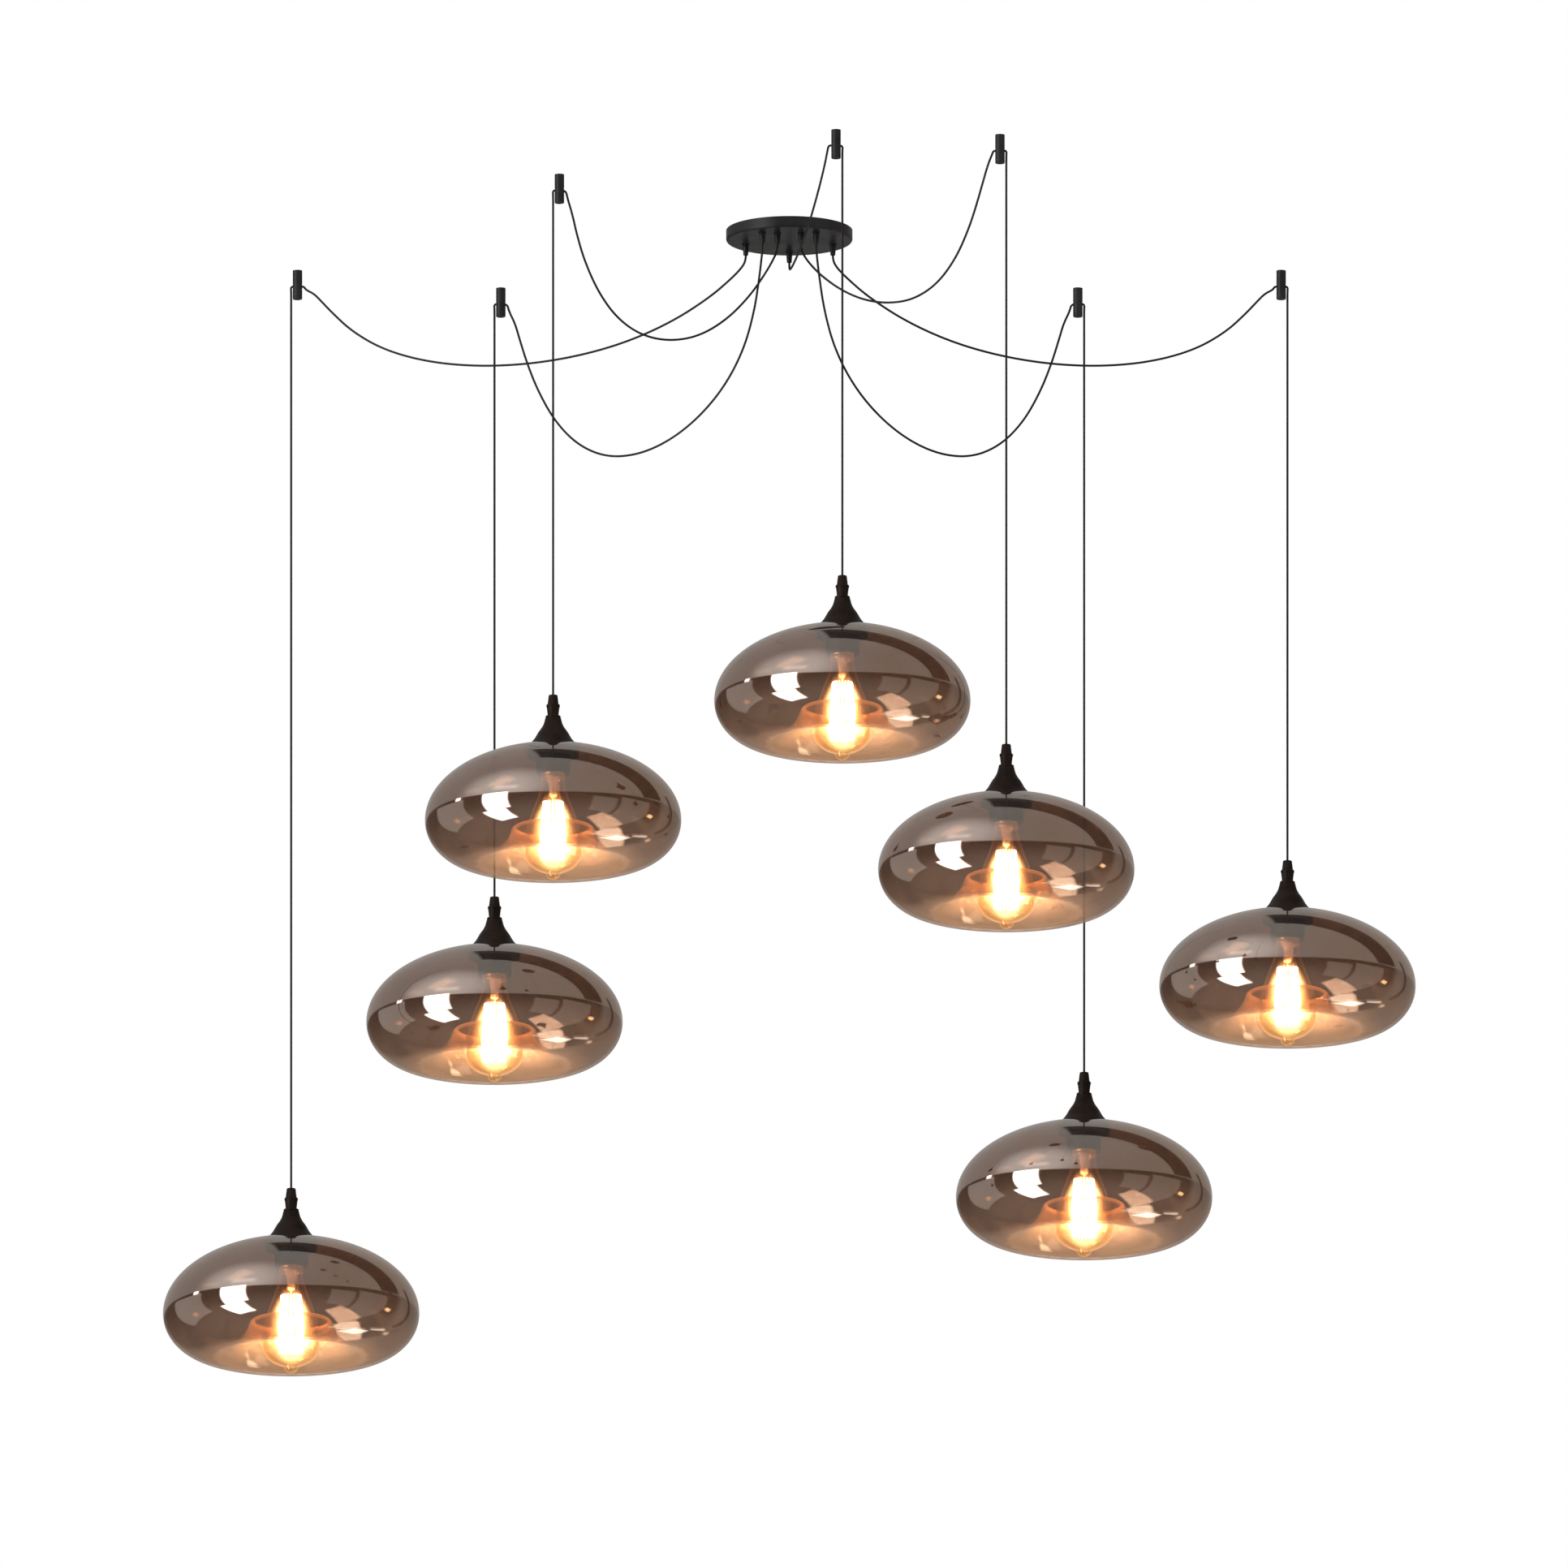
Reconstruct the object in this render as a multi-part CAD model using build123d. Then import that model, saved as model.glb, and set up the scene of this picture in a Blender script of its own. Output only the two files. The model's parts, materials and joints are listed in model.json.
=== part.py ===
"""Seven-light glass swag pendant.

A round ceiling canopy feeds seven cords. Each cord swags to a ceiling hook of its own, runs through
the hook's cross hole and drops to a smoked glass pendant with a filament bulb.

Millimetres, +Z up. The origin is the middle of the canopy on the ceiling, so everything hangs below
z = 0. -Y faces the viewer.
"""

import os
from math import asin, atan2, cos, degrees, pi, radians, sin, sqrt, tan
from typing import NamedTuple

from build123d import *

os.makedirs("parts", exist_ok=True)

# Cord and fits
cord_radius = 1.2
cord_clearance = 0.2
hook_hole_clearance = 0.3
thread_clearance = 0.1
bulb_clearance = 0.08
seat_gap = 0.3
cord_bend_share = 0.45

# Canopy pan
canopy_radius = 69.0
canopy_height = 12.0
canopy_wall = 1.2
canopy_edge_round = 2.5

# Places of the canopy's cord grips
grip_ring_radius = 50.0
inner_grip_x = 13.0
inner_grip_y = -36.0

# Canopy cord grips and their lock nuts
canopy_grip_length = 12.0
canopy_grip_radius = 3.4
canopy_grip_tip_radius = 2.6
canopy_grip_flange_radius = 4.0
canopy_grip_flange = 1.4
canopy_grip_groove = 0.4
canopy_stub_radius = 2.6
canopy_stub_end = 0.6
lock_nut_flats = 8.0
lock_nut_height = 2.2

# Mounting bracket and canopy side screws
bracket_width = 16.0
bracket_thickness = 1.5
bracket_drop = 9.5
bracket_wall_gap = 1.0
bracket_slot_spacing = 70.0
bracket_slot_width = 5.0
bracket_slot_length = 14.0
side_screw_radius = 1.9
side_screw_length = 7.0
side_screw_depth = 6.0
socket_radius = 1.0
socket_depth = 1.8

# Terminal block and the cord tails that reach it
block_length = 36.0
block_width = 16.0
block_height = 7.5
block_round = 1.0
block_screw_radius = 1.7
block_screw_depth = 1.2
block_screw_pitch = 8.0
tail_height = 4.6
tail_bend = 2.5
tail_side_y = 4.0
tail_front_x = 6.5
tail_corner_x = 15.0
tail_bite = 4.0

# Ceiling hooks and their clamp screws
hook_radius = 5.2
hook_height = 32.0
hook_hole_depth = 17.2
hook_mouth_chamfer = 0.6
hook_end_chamfer = 0.5
hook_stud_radius = 2.0
hook_stud_depth = 10.0
clamp_screw_radius = 1.9
clamp_screw_recess = 0.8
drop_wall_gap = 0.5
mouth_reach = 8.5
entry_step = 4.0

# Glass shade, heights from its widest line
shade_radius = 140.0
shade_rise = 82.7
roll_radius = 47.0
glass_wall = 3.0
neck_bore = 19.5
land_radius = 33.0
flare_radius = 50.0
flare_turn = 76.0
lip_radius = 4.0
lip_turn = 56.0

# Flared cap on the glass
cap_base_radius = 31.0
cap_waist_radius = 16.2
cap_waist_rise = 18.1
cap_neck_radius = 8.6
cap_neck_rise = 34.1
cap_collar_radius = 8.3
cap_collar_height = 2.5
cap_wall = 1.5

# Cord grip over the cap
grip_foot_radius = 6.2
grip_body_radius = 7.0
grip_body_height = 10.0
grip_ring_band_radius = 7.4
grip_ring_band = 2.5
grip_nut_base_radius = 6.1
grip_nut_top_radius = 5.0
grip_nut_height = 10.8
grip_nut_roof = 4.0
grip_stub_radius = 4.0
grip_flutes = 10
grip_flute_radius = 0.8

# Lampholder, nipple and shade ring
holder_radius = 18.5
holder_skirt = 25.4
holder_shoulder_rise = 4.0
holder_dome_radius = 8.0
holder_dome_rise = 20.0
holder_roof = 8.0
nipple_radius = 4.9
ring_radius = 28.0
ring_height = 6.0
ring_notches = 12
ring_notch_radius = 2.0

# Bulb
base_radius = 13.2
base_wall = 0.6
base_length = 24.0
base_collar_drop = 6.0
base_cone = 4.0
base_contact_radius = 4.8
base_contact = 1.5
bulb_neck_radius = 12.4
bulb_neck_grip = 12.0
bulb_radius = 32.0
bulb_wall = 0.8
bulb_shoulder = 80.6
bulb_bottom = 24.6
bulb_tip_radius = 8.2
bulb_tip = 7.3
stem_disc = 2.0
stem_radius = 2.0
stem_length = 96.0
filament_count = 8
filament_radius = 0.5
filament_ring_radius = 9.0
filament_hub = 1.6
filament_top = 24.0

# Heights that follow
hook_hole_z = -hook_hole_depth
canopy_floor_z = -canopy_height + canopy_wall
canopy_tip_z = -canopy_height - canopy_grip_length
cord_bore = cord_radius + cord_clearance
drop_reach = hook_radius + drop_wall_gap + cord_radius
land_z = shade_rise * sqrt(1 - (land_radius / shade_radius) ** 2)
cap_top_z = land_z + cap_neck_rise + cap_collar_height
grip_ring_z = cap_top_z + grip_body_height
grip_nut_z = grip_ring_z + grip_ring_band
grip_top_z = grip_nut_z + grip_nut_height
grip_stub_z = grip_top_z - grip_nut_roof
ring_top_z = land_z - glass_wall
holder_foot_z = ring_top_z - holder_skirt
holder_shoulder_z = ring_top_z + holder_shoulder_rise + glass_wall
base_foot_z = holder_foot_z - base_collar_drop
base_top_z = base_foot_z + base_length
contact_top_z = base_top_z + base_cone + base_contact
holder_floor_z = contact_top_z + seat_gap
nipple_foot_z = holder_shoulder_z + holder_dome_rise
cord_end_z = holder_floor_z + holder_roof


class Light(NamedTuple):
    """One pendant: where its hook and canopy grip are, how deep it hangs and how its cord swags."""

    hook: tuple
    depth: float
    grip: tuple
    swag: list
    entry_z: float


def on_ring(angle):
    """A place on the ring of outer canopy grips."""
    return (grip_ring_radius * cos(radians(angle)), grip_ring_radius * sin(radians(angle)))


# Each swag is chosen by hand: distance from the canopy grip towards the hook, and height
outer_swag = [
    (0, -30), (5, -38), (17, -49), (42, -68), (86, -92), (140, -111), (198, -122), (258, -126),
    (317, -123), (372, -113), (420, -96), (456, -73), (479, -50.5), (493, -35), (501, -26.5),
]
deep_swag = [
    (0, -30.5), (1.5, -41), (5, -61), (13, -97), (30, -137), (61, -173), (104, -201), (154, -219),
    (206, -225), (257, -218), (303, -196), (340, -163), (367, -125), (385, -91), (398, -60), (405, -42),
]
left_front_swag = [
    (0, -30.5), (5, -40), (17, -58), (42, -89), (78, -122), (121, -148), (167, -161), (210, -161),
    (246, -148), (274, -124), (295, -93), (307, -65), (314, -43),
]
middle_front_swag = [
    (0, -29.5), (3.5, -34), (11.5, -37), (30, -39.5), (68, -42), (126, -44), (186, -44.3), (246, -43.5),
    (306, -41.5), (365, -38), (422, -33.5), (468, -28.3), (496, -23.8), (510, -20.8),
]
right_front_swag = [
    (0, -30), (5.5, -37), (19, -49), (48, -69.5), (98, -97), (154, -120), (213, -136), (272, -144),
    (328, -139), (373, -120), (405, -93), (425, -68), (441, -45), (451, -31),
]

lights = [
    Light((-537, 188), 1171, on_ring(162), outer_swag, -21.5),
    Light((-315, 270), 824, on_ring(234), deep_swag, -26),
    Light((-251, -262), 725, (-inner_grip_x, inner_grip_y), left_front_swag, -27),
    Light((51, -471), 641, on_ring(90), middle_front_swag, -18.6),
    Light((230, -448), 825, (inner_grip_x, inner_grip_y), right_front_swag, -22),
    Light((315, 270), 1021, on_ring(306), deep_swag, -26),
    Light((537, 188), 803, on_ring(18), outer_swag, -21.5),
]


def save(node, *solids):
    """Write one node, a single solid or a group of separate ones."""
    shape = solids[0] if len(solids) == 1 else Compound(children=list(solids))
    export_step(shape, f"parts/{node}.step")


def spun(*lines):
    """A solid of revolution round Z from the lines of its half profile, given as radius and height."""
    edges = [edge for line in lines for edge in line.edges()]
    return revolve(Plane.XZ * make_face(edges), Axis.Z)


def outline(*points):
    """A closed straight-sided half profile."""
    return Polyline(*points, close=True)


def tube(points, radii):
    """A round cord along straight runs joined by tangent arcs."""
    path = FilletPolyline(*points, radius=radii)
    section = Plane(path @ 0, z_dir=path % 0) * Circle(cord_radius)
    return sweep(section, path=path), path.length


def cord_radii(points):
    """The largest bend that the two runs at each corner leave room for."""
    radii = []
    for before, corner, after in zip(points, points[1:], points[2:]):
        arriving = corner - before
        leaving = after - corner
        half_turn = radians(arriving.get_angle(leaving)) / 2
        radii.append(cord_bend_share * min(arriving.length, leaving.length) / tan(half_turn))
    return radii


def swag_side(light):
    """+1 where the swag reaches the hook from its +X side, -1 from its -X side."""
    return 1 if light.hook[0] < light.grip[0] else -1


def swag_route(light):
    """The swag's points, from the canopy grip's tip to the middle of the hook's cross hole."""
    side = swag_side(light)
    grip = Vector(*light.grip)
    hook = Vector(*light.hook)
    mouth = hook + Vector(side * mouth_reach, 0)
    entry = mouth + ((grip - mouth).normalized() + Vector(side, 0)).normalized() * entry_step
    along = (entry - grip).normalized()
    free = [grip + along * reach + Vector(0, 0, height) for reach, height in light.swag]
    start = grip + Vector(0, 0, canopy_tip_z)
    turn_in = [entry + Vector(0, 0, light.entry_z), mouth + Vector(0, 0, hook_hole_z)]
    return [start, *free, *turn_in, hook + Vector(0, 0, hook_hole_z)]


def swag_cord(light):
    points = swag_route(light)
    return (*tube(points, cord_radii(points)), cord_radii(points))


def pendant_x(light):
    """The drop hangs on the far side of the hook from its swag."""
    return light.hook[0] - swag_side(light) * drop_reach


def drop_cord(light):
    start = Vector(*light.hook, hook_hole_z)
    corner = Vector(pendant_x(light), light.hook[1], hook_hole_z)
    end = Vector(pendant_x(light), light.hook[1], cord_end_z - light.depth)
    points = [start, corner, end]
    return (*tube(points, cord_radii(points)), cord_radii(points))


def canopy_pan():
    body = Pos(0, 0, -canopy_height / 2) * Cylinder(canopy_radius, canopy_height)
    body = fillet(body.edges().group_by(Axis.Z)[0], canopy_edge_round)
    inside_radius = canopy_radius - canopy_wall
    inside_height = canopy_height - canopy_wall
    inside = Pos(0, 0, -inside_height / 2) * Cylinder(inside_radius, inside_height)
    inside = fillet(inside.edges().group_by(Axis.Z)[0], canopy_edge_round - canopy_wall)
    body -= inside
    for light in lights:
        hole = Cylinder(canopy_stub_radius + thread_clearance, canopy_height)
        body -= Pos(*light.grip, -canopy_height) * hole
    across = Rot(0, 90, 0) * Cylinder(side_screw_radius + thread_clearance, 2 * canopy_radius + canopy_wall)
    return body - Pos(0, 0, -side_screw_depth) * across


def mounting_bracket():
    half = canopy_radius - canopy_wall - bracket_wall_gap
    strap = Pos(0, 0, -bracket_thickness / 2) * Box(2 * half, bracket_width, bracket_thickness)
    end = Box(bracket_thickness, bracket_width, bracket_drop)
    for side in (-1, 1):
        strap += Pos(side * (half - bracket_thickness / 2), 0, -bracket_drop / 2) * end
    outer_corners = strap.edges().filter_by(Axis.Y).group_by(Axis.Z)[-1]
    strap = fillet(outer_corners, bracket_thickness * 0.9)
    slot = extrude(SlotOverall(bracket_slot_length, bracket_slot_width), bracket_thickness, both=True)
    for side in (-1, 1):
        strap -= Pos(side * bracket_slot_spacing / 2, 0, -bracket_thickness / 2) * slot
    across = Rot(0, 90, 0) * Cylinder(side_screw_radius + thread_clearance, 2 * canopy_radius)
    return strap - Pos(0, 0, -side_screw_depth) * across


def grub_screw(radius, length):
    """A headless screw along Z with its hex socket at the top end, z = 0."""
    screw = Pos(0, 0, -length / 2) * Cylinder(radius, length)
    screw = chamfer(screw.edges().group_by(Axis.Z)[0], radius / 4)
    return screw - extrude(RegularPolygon(socket_radius, 6), -socket_depth)


def canopy_screws():
    screw = grub_screw(side_screw_radius, side_screw_length)
    return [
        Pos(side * canopy_radius, 0, -side_screw_depth) * Rot(0, side * 90, 0) * screw
        for side in (-1, 1)
    ]


def terminal_block():
    body = Pos(0, 0, -bracket_thickness - block_height / 2) * Box(block_length, block_width, block_height)
    body = fillet(body.edges().filter_by(Axis.Z), block_round)
    bottom = -bracket_thickness - block_height
    for step in (-1.5, -0.5, 0.5, 1.5):
        recess = Cylinder(block_screw_radius, 2 * block_screw_depth)
        body -= Pos(step * block_screw_pitch, 0, bottom) * recess
    return body


def tail_target(light):
    """Where a cord tail meets the terminal block, from the side that its grip is on."""
    x, y = light.grip
    if abs(x) > block_length:
        return (x / abs(x) * (block_length / 2 - tail_bite), tail_side_y)
    if y > 0:
        return (x, block_width / 2 - tail_bite)
    reach = tail_corner_x if abs(x) > block_width else tail_front_x
    return (x / abs(x) * reach, tail_bite - block_width / 2)


def lead_tail(light, block):
    """The cord from the grip's tip up through the pan floor and over to the terminal block."""
    points = [
        Vector(*light.grip, canopy_tip_z),
        Vector(*light.grip, -tail_height),
        Vector(*tail_target(light), -tail_height),
    ]
    solid, _ = tube(points, [tail_bend])
    return solid - block


def canopy_grip(light):
    flange_z = -canopy_height - canopy_grip_flange
    groove_z = flange_z - canopy_grip_flange
    stub_top = canopy_floor_z + lock_nut_height + canopy_stub_end
    body = spun(outline(
        (cord_bore, canopy_tip_z), (canopy_grip_tip_radius, canopy_tip_z),
        (canopy_grip_radius, groove_z), (canopy_grip_radius - canopy_grip_groove, groove_z),
        (canopy_grip_radius - canopy_grip_groove, flange_z), (canopy_grip_flange_radius, flange_z),
        (canopy_grip_flange_radius, -canopy_height), (canopy_stub_radius, -canopy_height),
        (canopy_stub_radius, stub_top), (cord_bore, stub_top),
    ))
    return Pos(*light.grip) * body


def lock_nut(light):
    hexagon = RegularPolygon(lock_nut_flats / 2, 6, major_radius=False)
    nut = extrude(hexagon - Circle(canopy_stub_radius + thread_clearance), lock_nut_height)
    return Pos(*light.grip, canopy_floor_z) * nut


def ceiling_hook(light):
    body = Pos(0, 0, -hook_height / 2) * Cylinder(hook_radius, hook_height)
    body = chamfer(body.edges().group_by(Axis.Z)[0], hook_end_chamfer)
    body -= Pos(0, 0, -hook_stud_depth / 2) * Cylinder(hook_stud_radius, hook_stud_depth)
    hole_radius = cord_radius + hook_hole_clearance
    cross = Rot(0, 90, 0) * Cylinder(hole_radius, 2 * hook_radius)
    for side in (-1, 1):
        cone = Cone(hole_radius, hole_radius + 2 * hook_mouth_chamfer, 2 * hook_mouth_chamfer)
        cross += Pos(side * hook_radius, 0, 0) * Rot(0, side * 90, 0) * cone
    body -= Pos(0, 0, hook_hole_z) * cross
    clamp_length = hook_height - hook_hole_depth
    clamp_hole = Cylinder(clamp_screw_radius + thread_clearance, clamp_length)
    body -= Pos(0, 0, hook_hole_z - clamp_length / 2) * clamp_hole
    return Pos(*light.hook) * body


def clamp_screw(light):
    top_z = hook_hole_z - cord_radius - seat_gap
    bottom_z = -hook_height + clamp_screw_recess
    screw = Rot(180, 0, 0) * grub_screw(clamp_screw_radius, top_z - bottom_z)
    return Pos(*light.hook, bottom_z) * screw


def arc_point(centre, radius, angle):
    return (centre[0] + radius * cos(radians(angle)), centre[1] + radius * sin(radians(angle)))


def ring_arc(centre, radius, start, end):
    """An arc of a half profile through its start, middle and end angles."""
    angles = (start, (start + end) / 2, end)
    return ThreePointArc(*(arc_point(centre, radius, angle) for angle in angles))


def glass_shade():
    """Domed top, rolled lower edge and the inner bell that the roll turns up into."""
    inner_radius = shade_radius - glass_wall
    inner_rise = shade_rise - glass_wall
    roll_centre = (shade_radius - roll_radius, 0)
    flare_centre = (roll_centre[0], flare_radius - roll_radius)
    flare_end = 270 - flare_turn
    lip_centre = arc_point(flare_centre, flare_radius + lip_radius, flare_end)
    lip_start = flare_end - 180
    lip_end = lip_start + lip_turn
    outside_angle = degrees(asin(land_z / shade_rise))
    inside_angle = degrees(asin(ring_top_z / inner_rise))
    outside = EllipticalCenterArc((0, 0), shade_radius, shade_rise, arc_size=outside_angle)
    inside = EllipticalCenterArc((0, 0), inner_radius, inner_rise, arc_size=inside_angle)
    nose = arc_point(lip_centre, lip_radius + glass_wall / 2, lip_end)
    nose_tip = arc_point(nose, glass_wall / 2, lip_end + 90)
    return spun(
        Polyline(inside @ 1, (neck_bore, ring_top_z), (neck_bore, land_z), outside @ 1),
        outside,
        ring_arc(roll_centre, roll_radius, 0, -90),
        ring_arc(flare_centre, flare_radius, 270, flare_end),
        ring_arc(lip_centre, lip_radius, lip_start, lip_end),
        ThreePointArc(
            arc_point(lip_centre, lip_radius, lip_end),
            nose_tip,
            arc_point(lip_centre, lip_radius + glass_wall, lip_end),
        ),
        ring_arc(lip_centre, lip_radius + glass_wall, lip_end, lip_start),
        ring_arc(flare_centre, flare_radius - glass_wall, flare_end, 270),
        ring_arc(roll_centre, roll_radius - glass_wall, -90, 0),
        inside,
    )


def socket_cap():
    """Trumpet cap of spun sheet, seated on the flat land round the glass neck."""
    neck_z = land_z + cap_neck_rise
    roof_z = neck_z - cap_wall
    waist_z = land_z + cap_waist_rise
    hole = nipple_radius + thread_clearance
    outer = ThreePointArc((cap_neck_radius, neck_z), (cap_waist_radius, waist_z), (cap_base_radius, land_z))
    inner = ThreePointArc(
        (cap_base_radius - cap_wall, land_z),
        (cap_waist_radius - cap_wall, waist_z - cap_wall / 2),
        (cap_neck_radius - cap_wall, roof_z),
    )
    return spun(
        Polyline(inner @ 1, (hole, roof_z), (hole, cap_top_z), (cap_collar_radius, cap_top_z),
                 (cap_collar_radius, neck_z), (cap_neck_radius, neck_z)),
        outer,
        Line(outer @ 1, inner @ 0),
        inner,
    )


def pendant_grip():
    """Strain relief over the cap: a waisted body on the nipple and a fluted nut round the cord."""
    nipple_hole = nipple_radius + thread_clearance
    nut_hole = grip_stub_radius + thread_clearance
    body = spun(outline(
        (nipple_hole, cap_top_z), (grip_foot_radius, cap_top_z), (grip_body_radius, grip_ring_z),
        (grip_ring_band_radius, grip_ring_z), (grip_ring_band_radius, grip_nut_z),
        (grip_stub_radius, grip_nut_z), (grip_stub_radius, grip_stub_z),
        (cord_bore, grip_stub_z), (cord_bore, grip_ring_z), (nipple_hole, grip_ring_z),
    ))
    nut = spun(outline(
        (nut_hole, grip_nut_z), (grip_nut_base_radius, grip_nut_z), (grip_nut_top_radius, grip_top_z),
        (cord_bore, grip_top_z), (cord_bore, grip_stub_z), (nut_hole, grip_stub_z),
    ))
    lean = degrees(atan2(grip_nut_base_radius - grip_nut_top_radius, grip_nut_height))
    middle = (grip_nut_base_radius + grip_nut_top_radius) / 2 + grip_flute_radius / 2
    flute = Rot(0, -lean, 0) * Cylinder(grip_flute_radius, 2 * grip_nut_height)
    for index in range(grip_flutes):
        place = Rot(0, 0, index * 360 / grip_flutes) * Pos(middle, 0, (grip_nut_z + grip_top_z) / 2)
        nut -= place * flute
    return body, nut


def lampholder():
    """Holder with its skirt, dome and nipple, and the notched ring that clamps the glass from inside."""
    bulb_bore = base_radius + bulb_clearance
    body = spun(outline(
        (bulb_bore, holder_foot_z), (holder_radius, holder_foot_z), (holder_radius, holder_shoulder_z),
        (holder_dome_radius, nipple_foot_z), (nipple_radius, nipple_foot_z), (nipple_radius, grip_ring_z),
        (cord_bore, grip_ring_z), (cord_bore, cord_end_z), (0, cord_end_z), (0, holder_floor_z),
        (bulb_bore, holder_floor_z),
    ))
    ring_hole = holder_radius + thread_clearance
    ring_foot_z = ring_top_z - ring_height
    ring = spun(outline(
        (ring_hole, ring_foot_z), (ring_radius, ring_foot_z),
        (ring_radius, ring_top_z), (ring_hole, ring_top_z),
    ))
    for index in range(ring_notches):
        notch = Pos(ring_radius, 0, ring_foot_z) * Cylinder(ring_notch_radius, ring_height)
        ring -= Rot(0, 0, index * 360 / ring_notches) * notch
    return body, ring


def bulb_wall_lines(inset):
    """The bulb's half profile from its neck to its tip, moved in by the given inset."""
    neck = bulb_neck_radius - inset
    belly = bulb_radius - inset
    tip = bulb_tip_radius - inset
    neck_z = base_foot_z
    belly_z = neck_z - bulb_shoulder
    foot_z = belly_z - bulb_bottom + inset
    tip_z = foot_z - bulb_tip
    return [
        Line((neck, neck_z + bulb_neck_grip), (neck, neck_z)),
        Bezier(
            (neck, neck_z), (neck, neck_z - bulb_shoulder * 0.25),
            (belly, belly_z + bulb_shoulder * 0.45), (belly, belly_z),
        ),
        Bezier(
            (belly, belly_z), (belly, belly_z - bulb_bottom * 0.6),
            (belly * 0.6, foot_z + bulb_bottom * 0.12), (tip, foot_z),
        ),
        Bezier((tip, foot_z), (tip * 0.95, tip_z + bulb_tip * 0.3), (tip * 0.6, tip_z), (0, tip_z)),
    ]


def bulb():
    """Glass envelope, screw base and the stem with its cage of filament strands."""
    outside = bulb_wall_lines(0)
    inside = bulb_wall_lines(bulb_wall)
    neck_top = base_foot_z + bulb_neck_grip
    at_tip = Line(outside[-1] @ 1, inside[-1] @ 1)
    at_neck = Line(inside[0] @ 0, outside[0] @ 0)
    envelope = spun(*outside, at_tip, *inside, at_neck)
    cup = base_radius - base_wall
    base = spun(outline(
        (cup, base_foot_z), (base_radius, base_foot_z), (base_radius, base_top_z),
        (base_contact_radius, base_top_z + base_cone), (base_contact_radius, contact_top_z),
        (0, contact_top_z), (0, neck_top + seat_gap), (cup, neck_top + seat_gap),
    ))
    disc_radius = bulb_neck_radius - bulb_wall - thread_clearance
    stem = Pos(0, 0, neck_top - stem_disc / 2) * Cylinder(disc_radius, stem_disc)
    stem += Pos(0, 0, neck_top - stem_length / 2) * Cylinder(stem_radius, stem_length)
    hub_low = neck_top - stem_length + filament_hub / 2
    strand_length = filament_top - hub_low
    middle_z = (hub_low + filament_top) / 2
    for hub_z in (hub_low, filament_top):
        stem += Pos(0, 0, hub_z) * Cylinder(filament_ring_radius + 2 * filament_radius, filament_hub)
    for index in range(filament_count):
        strand = Pos(filament_ring_radius, 0, middle_z) * Cylinder(filament_radius, strand_length)
        stem += Rot(0, 0, index * 360 / filament_count) * strand
    return envelope, base, stem


def hung(shapes, light):
    """Copies of a pendant's pieces, moved from its own origin to its place under the hook."""
    place = Pos(pendant_x(light), light.hook[1], -light.depth)
    return [place * shape for shape in shapes]


def report_cord(name, solid, length, radii):
    """Print a cord's length, its bends and how its volume compares with section times length."""
    share = solid.volume / (pi * cord_radius**2 * length)
    bends = " ".join(f"{radius:.0f}" for radius in radii)
    print(f"{name}: {length:.0f} mm, volume share {share:.4f}, bend radii {bends}")


block = terminal_block()
save("canopy_pan", canopy_pan())
save("mounting_bracket", mounting_bracket())
save("canopy_screws", *canopy_screws())
save("terminal_block", block)
save("canopy_cord_grips", *(canopy_grip(light) for light in lights))
save("canopy_lock_nuts", *(lock_nut(light) for light in lights))
save("lead_tails", *(lead_tail(light, block) for light in lights))
save("ceiling_hooks", *(ceiling_hook(light) for light in lights))
save("hook_clamp_screws", *(clamp_screw(light) for light in lights))

pendant_pieces = {
    "cord_grip": pendant_grip(),
    "socket_cap": (socket_cap(),),
    "lampholder": lampholder(),
    "glass_shade": (glass_shade(),),
    "bulb": bulb(),
}
for number, light in enumerate(lights, 1):
    for name, cord in (("swag_cord", swag_cord(light)), ("drop_cord", drop_cord(light))):
        report_cord(f"{name}_{number}", *cord)
        save(f"{name}_{number}", cord[0])
    for name, pieces in pendant_pieces.items():
        save(f"{name}_{number}", *hung(pieces, light))
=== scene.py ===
# %% [markdown]
# # A cluster of smoked glass pendants, dressed in Blender
# The solid model already holds every part at its true size, in metres, with the origin at the middle
# of the canopy on the ceiling. This lesson loads that model, then gives the lamp its blown glass, its
# glowing bulbs, its turned metalwork and its hanging cords. Every new piece stays where its solid is.

# %% Load the solid model
import json
from math import atan2, cos, degrees, exp, pi, radians, sin, sqrt

import bpy
from mathutils import Matrix, Vector

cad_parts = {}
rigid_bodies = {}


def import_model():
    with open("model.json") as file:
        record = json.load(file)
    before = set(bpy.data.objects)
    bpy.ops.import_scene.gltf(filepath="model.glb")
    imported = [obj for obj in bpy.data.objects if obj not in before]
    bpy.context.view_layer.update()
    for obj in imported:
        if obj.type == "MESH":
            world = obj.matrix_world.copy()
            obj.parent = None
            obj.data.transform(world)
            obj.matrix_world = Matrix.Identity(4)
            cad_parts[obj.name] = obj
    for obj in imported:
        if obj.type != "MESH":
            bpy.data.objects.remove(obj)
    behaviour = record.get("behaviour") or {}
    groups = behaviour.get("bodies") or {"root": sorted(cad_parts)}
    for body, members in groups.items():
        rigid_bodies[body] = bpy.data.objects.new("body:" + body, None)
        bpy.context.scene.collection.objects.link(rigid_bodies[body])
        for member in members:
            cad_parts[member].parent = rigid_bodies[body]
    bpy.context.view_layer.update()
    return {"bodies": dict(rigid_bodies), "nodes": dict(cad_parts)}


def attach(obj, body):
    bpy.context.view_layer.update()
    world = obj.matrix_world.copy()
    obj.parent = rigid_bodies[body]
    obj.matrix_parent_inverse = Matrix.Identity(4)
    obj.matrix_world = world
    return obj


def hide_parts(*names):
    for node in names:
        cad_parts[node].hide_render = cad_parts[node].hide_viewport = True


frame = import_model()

mm = 0.001
nodes = frame["nodes"]

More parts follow.
